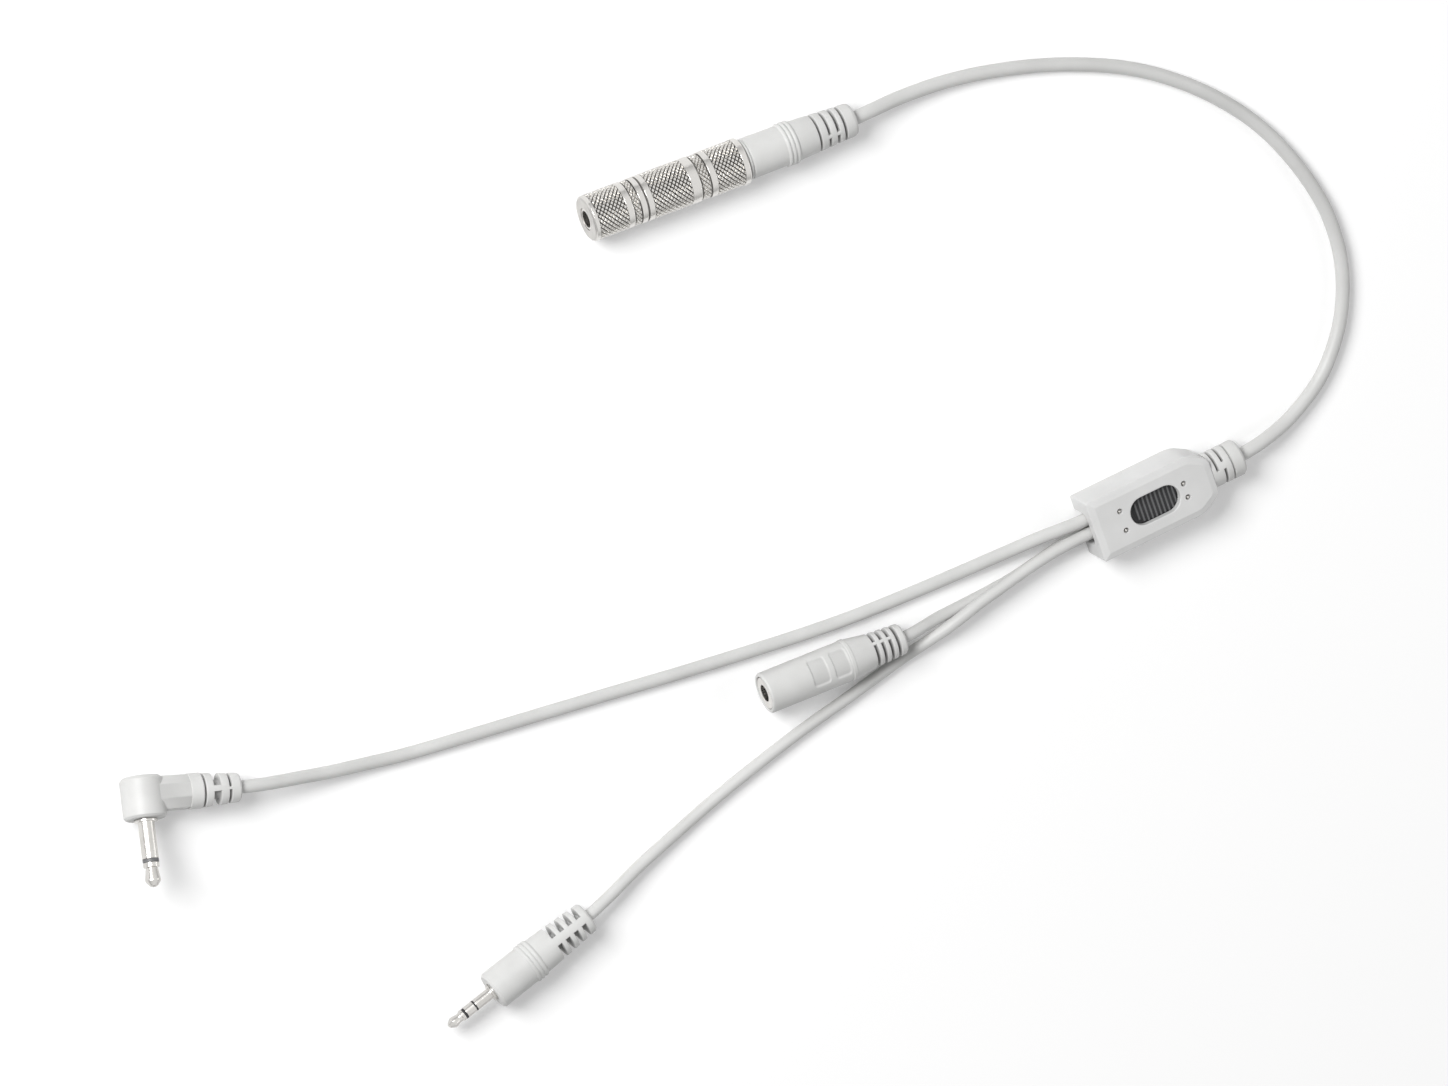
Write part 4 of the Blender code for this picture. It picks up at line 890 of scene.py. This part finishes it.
def slab(length, width, x, ease, steps=8):
    """A slab's outline whose corners are rounded by half of ease."""
    radius = min(ease, width) / 2
    points = []
    for quarter, (i, j) in enumerate(((1, 1), (-1, 1), (-1, -1), (1, -1))):
        middle = (x + i * (length / 2 - radius), j * (width / 2 - radius))
        for k in range(steps + 1):
            a = pi / 2 * (quarter + k / steps)
            points.append((middle[0] + radius * cos(a), middle[1] + radius * sin(a)))
    return points


# Length, width, middle, bottom, top, and how far in the ends' rounds start.
FLANGE = (11.9, 7.2, -0.25, 6.2, 7.2, 1.0)
PAD = (10.4, 5.8, 0.0, 7.0, 7.38, 5.8)
# How far from the window's middle the thumb piece rests, towards the strain relief.
REST = 0.6
bm = grown(at, {
    "Count": 10, "Pitch": 1.0, "Length": PAD[0], "Width": PAD[1], "Bottom": 7.18, "Finish": dark_plastic})
for length, width, middle, bottom, top, ends in (FLANGE, PAD):
    side = eased([(1.5, bottom), (0.0, bottom), (0.0, top), (1.5, top)], 0.12)
    outlines = [(slab(length - 2 * inset, width - 2 * inset, middle, ends), z) for inset, z in side]
    rings = walls(bm, [ring_of(bm, outline, z) for outline, z in outlines])
    bm.faces.new(rings[0])
    bm.faces.new(rings[-1])
bmesh.ops.translate(bm, vec=(REST, 0, 0), verts=bm.verts)
bmesh.ops.recalc_face_normals(bm, faces=bm.faces)
seat("switch_thumb_piece", bm, dark_plastic, "switch", ["switch_knob"])

# ---------------------------------------------------------------- the box's strain relief and gland
# A pale PVC bush in the box's end wall guards the main cord: slotted rings outside, a neck in the wall and a
# flange inside. Behind the other wall a black rubber block grips the three tails.

relief = [(12.3, 0), (12.3, 2.6), (14.45, 2.6), (14.45, 4.0), (21.8, 4.0), (22.3, 3.6)]
relief += [(22.3, 1.65), (19.7, 1.65), (19.7, 0)]
gaps = [(15.45, 16.05, [(6, 170)]), (17.15, 17.75, [(29, 150), (-150, 5)]), (19.15, 19.55, [(0, 360)], 3.5)]
RELIEF_PLACE = ((0.0, 0.0, 4.5), (0.0, 0.0, 0.0))
bm = lathe(eased(relief), 96, gaps, 2.4)
seat("box_relief", bm, moulded_pvc, "lead", ["box_strain_relief"], RELIEF_PLACE)

# ---------------------------------------------------------------- right-angle plug
# The two-pole plug on the first tail: a round barrel stands across an eight-sided sleeve, which runs into a
# relief of three gaps. All of it is one PVC moulding round the nickelled pin.

ACROSS = Matrix.Translation((0, -5.0, 0)) @ Matrix.Rotation(pi / 2, 4, "Z")
barrel = lathe(eased([(0, 0), (0, 2.2), (0, 4.05), (0.5, 4.55), (8.1, 4.55), (8.8, 3.85), (8.8, 0)], 0.3), 96)
bmesh.ops.transform(barrel, matrix=ACROSS, verts=barrel.verts)

SLEEVE_FLAT = 3.58
SLEEVE_ROWS = ((0.6, 0.95), (1.0, 1.0), (10.2, 0.965), (10.4, 0.93))
radius = SLEEVE_FLAT / cos(pi / 8)
corners = [Vector((radius * sin(a), radius * cos(a))) for a in (pi / 8 + pi * k / 4 for k in range(8))]
sleeve = bmesh.new()
rings = []
for x, share in SLEEVE_ROWS:
    ring = []
    for before, corner, after in zip(corners[-1:] + corners[:-1], corners, corners[1:] + corners[:1]):
        start, end = corner.lerp(before, 0.07), corner.lerp(after, 0.07)
        for point in (corner.lerp(before, 0.1), *arc(start, corner, end), corner.lerp(after, 0.1)):
            ring.append(sleeve.verts.new((x, point.x * share, point.y * share)))
    rings.append(ring)
walls(sleeve, rings)
sleeve.faces.new(rings[0])
sleeve.faces.new(rings[-1])

rear = [(9.6, 0), (9.6, 3.75), (12.2, 3.75), (12.2, 3.55), (13.2, 3.55), (20.2, 3.05), (20.6, 2.75)]
rear += [(20.6, 1.55), (18.8, 1.55), (18.8, 0)]
gaps = [(12.45, 12.85, between(85, 265, width=14)), (14.5, 16.1, between(-5, 175, width=22))]
gaps.append((17.85, 18.4, between(-8, 172, width=12)))
bm = cut_by(barrel, sleeve, operation="UNION")
added(bm, lathe(eased(rear), 96, gaps, 2.0, ease=0.18))
seat("angle_plug_body", bm, moulded_pvc, "lead", ["angle_plug_moulding"], ANGLE_PLACE, crease=42)

# ---------------------------------------------------------------- the plugs' pins
# Turned brass under nickel. Each pin is a tip on a rod that runs back through tubes, one for each contact,
# with black rings of insulation between them.


def plug_pin(name, nodes, metal, black, place, turn=None):
    """The contacts of one pin as one piece, and its insulation as another."""
    for part, shapes, finish, slot in (
        ("contacts", metal, bright_nickel, "nickel"),
        ("insulation", black, dark_plastic, "dark_plastic"),
    ):
        whole = bmesh.new()
        for line in shapes:
            closed = line[0][1] > 0
            line = eased(line + [line[0]], 0.07)[:-1] if closed else eased(line, 0.07)
            added(whole, lathe(line, 64, closed=closed))
        if turn:
            bmesh.ops.transform(whole, matrix=turn, verts=whole.verts)
        replaced = [node for node in nodes if ("insulator" in node) == (part == "insulation")]
        seat(f"{name}_{part}", whole, finish, "lead", replaced, place, crease=50)


def moved(lines, by):
    """Profiles moved along their axis."""
    return [[(x + by, radius) for x, radius in line] for line in lines]


MOUTH = 36.3
tip = [(-14.4, 0), (-14.35, 0.55), (-14.1, 0.95), (-12.95, 1.7), (-12.3, 1.7), (-11.4, 1.26), (-10.55, 1.75)]
tip += [(-10.1, 1.75), (-10.1, 0.45), (7.0, 0.45), (7.0, 0)]
ring = [(-9.4, 0.73), (-9.4, 1.75), (-7.5, 1.75), (-7.5, 0.92), (5.6, 0.92), (5.6, 0.73)]
sleeve = [(-6.8, 1.21), (-6.8, 1.75), (-0.6, 1.75), (-0.5, 2.3), (0.1, 2.3), (0.1, 2.4), (4.2, 2.4)]
sleeve.append((4.2, 1.21))
rear = [(-10.05, 0.5), (-10.05, 1.72), (-9.45, 1.72), (-9.45, 0.68), (6.3, 0.68), (6.3, 0.5)]
front = [(-7.45, 0.97), (-7.45, 1.72), (-6.85, 1.72), (-6.85, 1.16), (4.9, 1.16), (4.9, 0.97)]
contacts = ["tip", "ring", "sleeve", "rear_insulator", "front_insulator"]
nodes = [f"lead_plug_{contact}" for contact in contacts]
plug_pin("lead_pin", nodes, moved([tip, ring, sleeve], MOUTH), moved([rear, front], MOUTH), COUPLER_PLACE)

tip = [(-11.8, 0), (-11.75, 0.3), (-11.55, 0.6), (-10.6, 1.2), (-10.1, 1.2), (-9.1, 0.96), (-8.5, 1.0)]
tip += [(-8.3, 1.25), (-7.7, 1.25), (-7.7, 0.3), (6.2, 0.3), (6.2, 0)]
ring = [(-7.15, 0.55), (-7.15, 1.25), (-4.95, 1.25), (-4.95, 0.7), (5.0, 0.7), (5.0, 0.55)]
sleeve = [(-4.6, 0.95), (-4.6, 1.25), (-0.6, 1.25), (-0.6, 1.9), (3.8, 1.9), (3.8, 0.95)]
rear = [(-7.66, 0.35), (-7.66, 1.2), (-7.19, 1.2), (-7.19, 0.5), (5.6, 0.5), (5.6, 0.35)]
front = [(-4.9, 0.75), (-4.9, 1.22), (-4.65, 1.22), (-4.65, 0.9), (4.4, 0.9), (4.4, 0.75)]
nodes = [f"straight_plug_{contact}" for contact in contacts]
plug_pin("straight_pin", nodes, [tip, ring, sleeve], [rear, front], STRAIGHT_PLACE)

tip = [(-14.2, 0), (-14.15, 0.5), (-13.9, 0.9), (-12.9, 1.66), (-12.6, 1.66), (-10.25, 1.28), (-10.05, 1.7)]
tip += [(-9.1, 1.7), (-9.1, 0.6), (6.6, 0.6), (6.6, 0)]
sleeve = [(-8.3, 1.05), (-8.3, 1.75), (-0.6, 1.75), (-0.6, 2.45), (-0.1, 2.45), (-0.1, 2.1), (5.0, 2.1)]
sleeve.append((5.0, 1.05))
rear = [(-9.05, 0.65), (-9.05, 1.72), (-8.35, 1.72), (-8.35, 1.0), (5.8, 1.0), (5.8, 0.65)]
nodes = ["angle_plug_tip", "angle_plug_sleeve_contact", "angle_plug_insulator"]
plug_pin("angle_pin", nodes, [tip, sleeve], [rear], ANGLE_PLACE, ACROSS)

# ---------------------------------------------------------------- in-line socket's bush
# A nickelled bush with a wide face fills the socket's mouth, in front of the black lining that holds its
# contact leaves.

bm = bush([(0.1, 1.85), (0.1, 3.5), (4.7, 3.5), (4.7, 2.8), (6.5, 2.8), (6.5, 1.85)], 0.15)
seat("inline_socket_bush", bm, bright_nickel, "lead", ["inline_jack_bush"], JACK_PLACE)

# ---------------------------------------------------------------- pieces that keep their CAD shape
# Inside the box and the sockets: the gland, the board with its chips, the slide switch in its steel frame,
# the linings and the brass leaves. The box's base shows from below.


def finish_nodes(finish, *names):
    """Gives kept nodes their finish."""
    for name in names:
        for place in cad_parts[name].material_slots:
            place.material = finish


def simple(name, dark, light, rough, scale, metallic=0.0):
    """A finish of two near tones with a fine grain."""
    finish = bpy.data.materials.new(name)
    at = begin(finish)
    cloud = mottled(at, scale, 0.3, 0.7, detail=4.0)
    fine = mottled(at, scale * 9, 0.35, 0.65, detail=2.0)
    shade = tinted(at, 0.6 * cloud + 0.4 * fine, dark, light)
    finished(at, shade, rough + 0.15 * fine, fine, 0.00001, Metallic=metallic)
    return finish


finish_nodes(case_plastic, "case_base")
finish_nodes(dark_plastic, "tail_gland", "switch_base", "switch_slider", "coupler_core", "inline_jack_lining")
spring_brass = simple("spring_brass", (0.66, 0.47, 0.2), (0.8, 0.6, 0.3), 0.24, 500.0, metallic=1.0)
finish_nodes(spring_brass, "switch_terminal_1", "switch_terminal_2", "switch_terminal_3", "switch_contact",
             "tip_leaf", "ring_leaf", "inline_jack_ring_leaf", "inline_jack_tip_leaf")
tinned_steel = simple("tinned_steel", (0.5, 0.5, 0.5), (0.66, 0.66, 0.66), 0.28, 400.0, metallic=1.0)
finish_nodes(tinned_steel, "switch_frame")
board_green = simple("board_green", (0.02, 0.13, 0.05), (0.035, 0.2, 0.08), 0.3, 700.0)
finish_nodes(board_green, "circuit_board")
chip_black = simple("chip_black", (0.015, 0.015, 0.015), (0.04, 0.04, 0.04), 0.4, 900.0)
finish_nodes(chip_black, "matching_resistor_1", "matching_resistor_2")
chip_ceramic = simple("chip_ceramic", (0.42, 0.33, 0.22), (0.54, 0.44, 0.31), 0.45, 900.0)
finish_nodes(chip_ceramic, "blocking_capacitor")

# ---------------------------------------------------------------- the cords' ends
# Each cord's real length, measured along its route, and what it ends in. All four leave the box through its
# end walls.


def long_as(cord, steps=32):
    """A cord's length in metres, along its own line."""
    points = cord.data.splines[0].bezier_points
    total = 0.0
    for start, end in zip(points, points[1:]):
        last = start.co
        for step in range(1, steps + 1):
            t = step / steps
            near, far = start.co.lerp(start.handle_right, t), end.handle_left.lerp(end.co, t)
            inner = start.handle_right.lerp(end.handle_left, t)
            here = near.lerp(inner, t).lerp(inner.lerp(far, t), t)
            total += (here - last).length
            last = here
    return total


for name, leaves, diameter, far_end, ends in (
    ("main_cord", (0.0223, 0.0, 0.0045), 0.0030, "plug", ["lead_plug_body"]),
    ("tail_a_cord", (-0.0144, 0.0021, 0.0042), 0.0028, "plug",
     ["angle_plug_body", "angle_pin_contacts", "angle_pin_insulation"]),
    ("tail_b_cord", (-0.0144, -0.0009, 0.0014), 0.0026, "connector",
     ["inline_socket_body", "inline_socket_bush"]),
    ("tail_c_cord", (-0.0144, -0.0011, 0.0043), 0.0026, "plug",
     ["straight_plug_body", "straight_pin_contacts", "straight_pin_insulation"]),
):
    cord = cords[name]
    length = round(long_as(cord), 4)
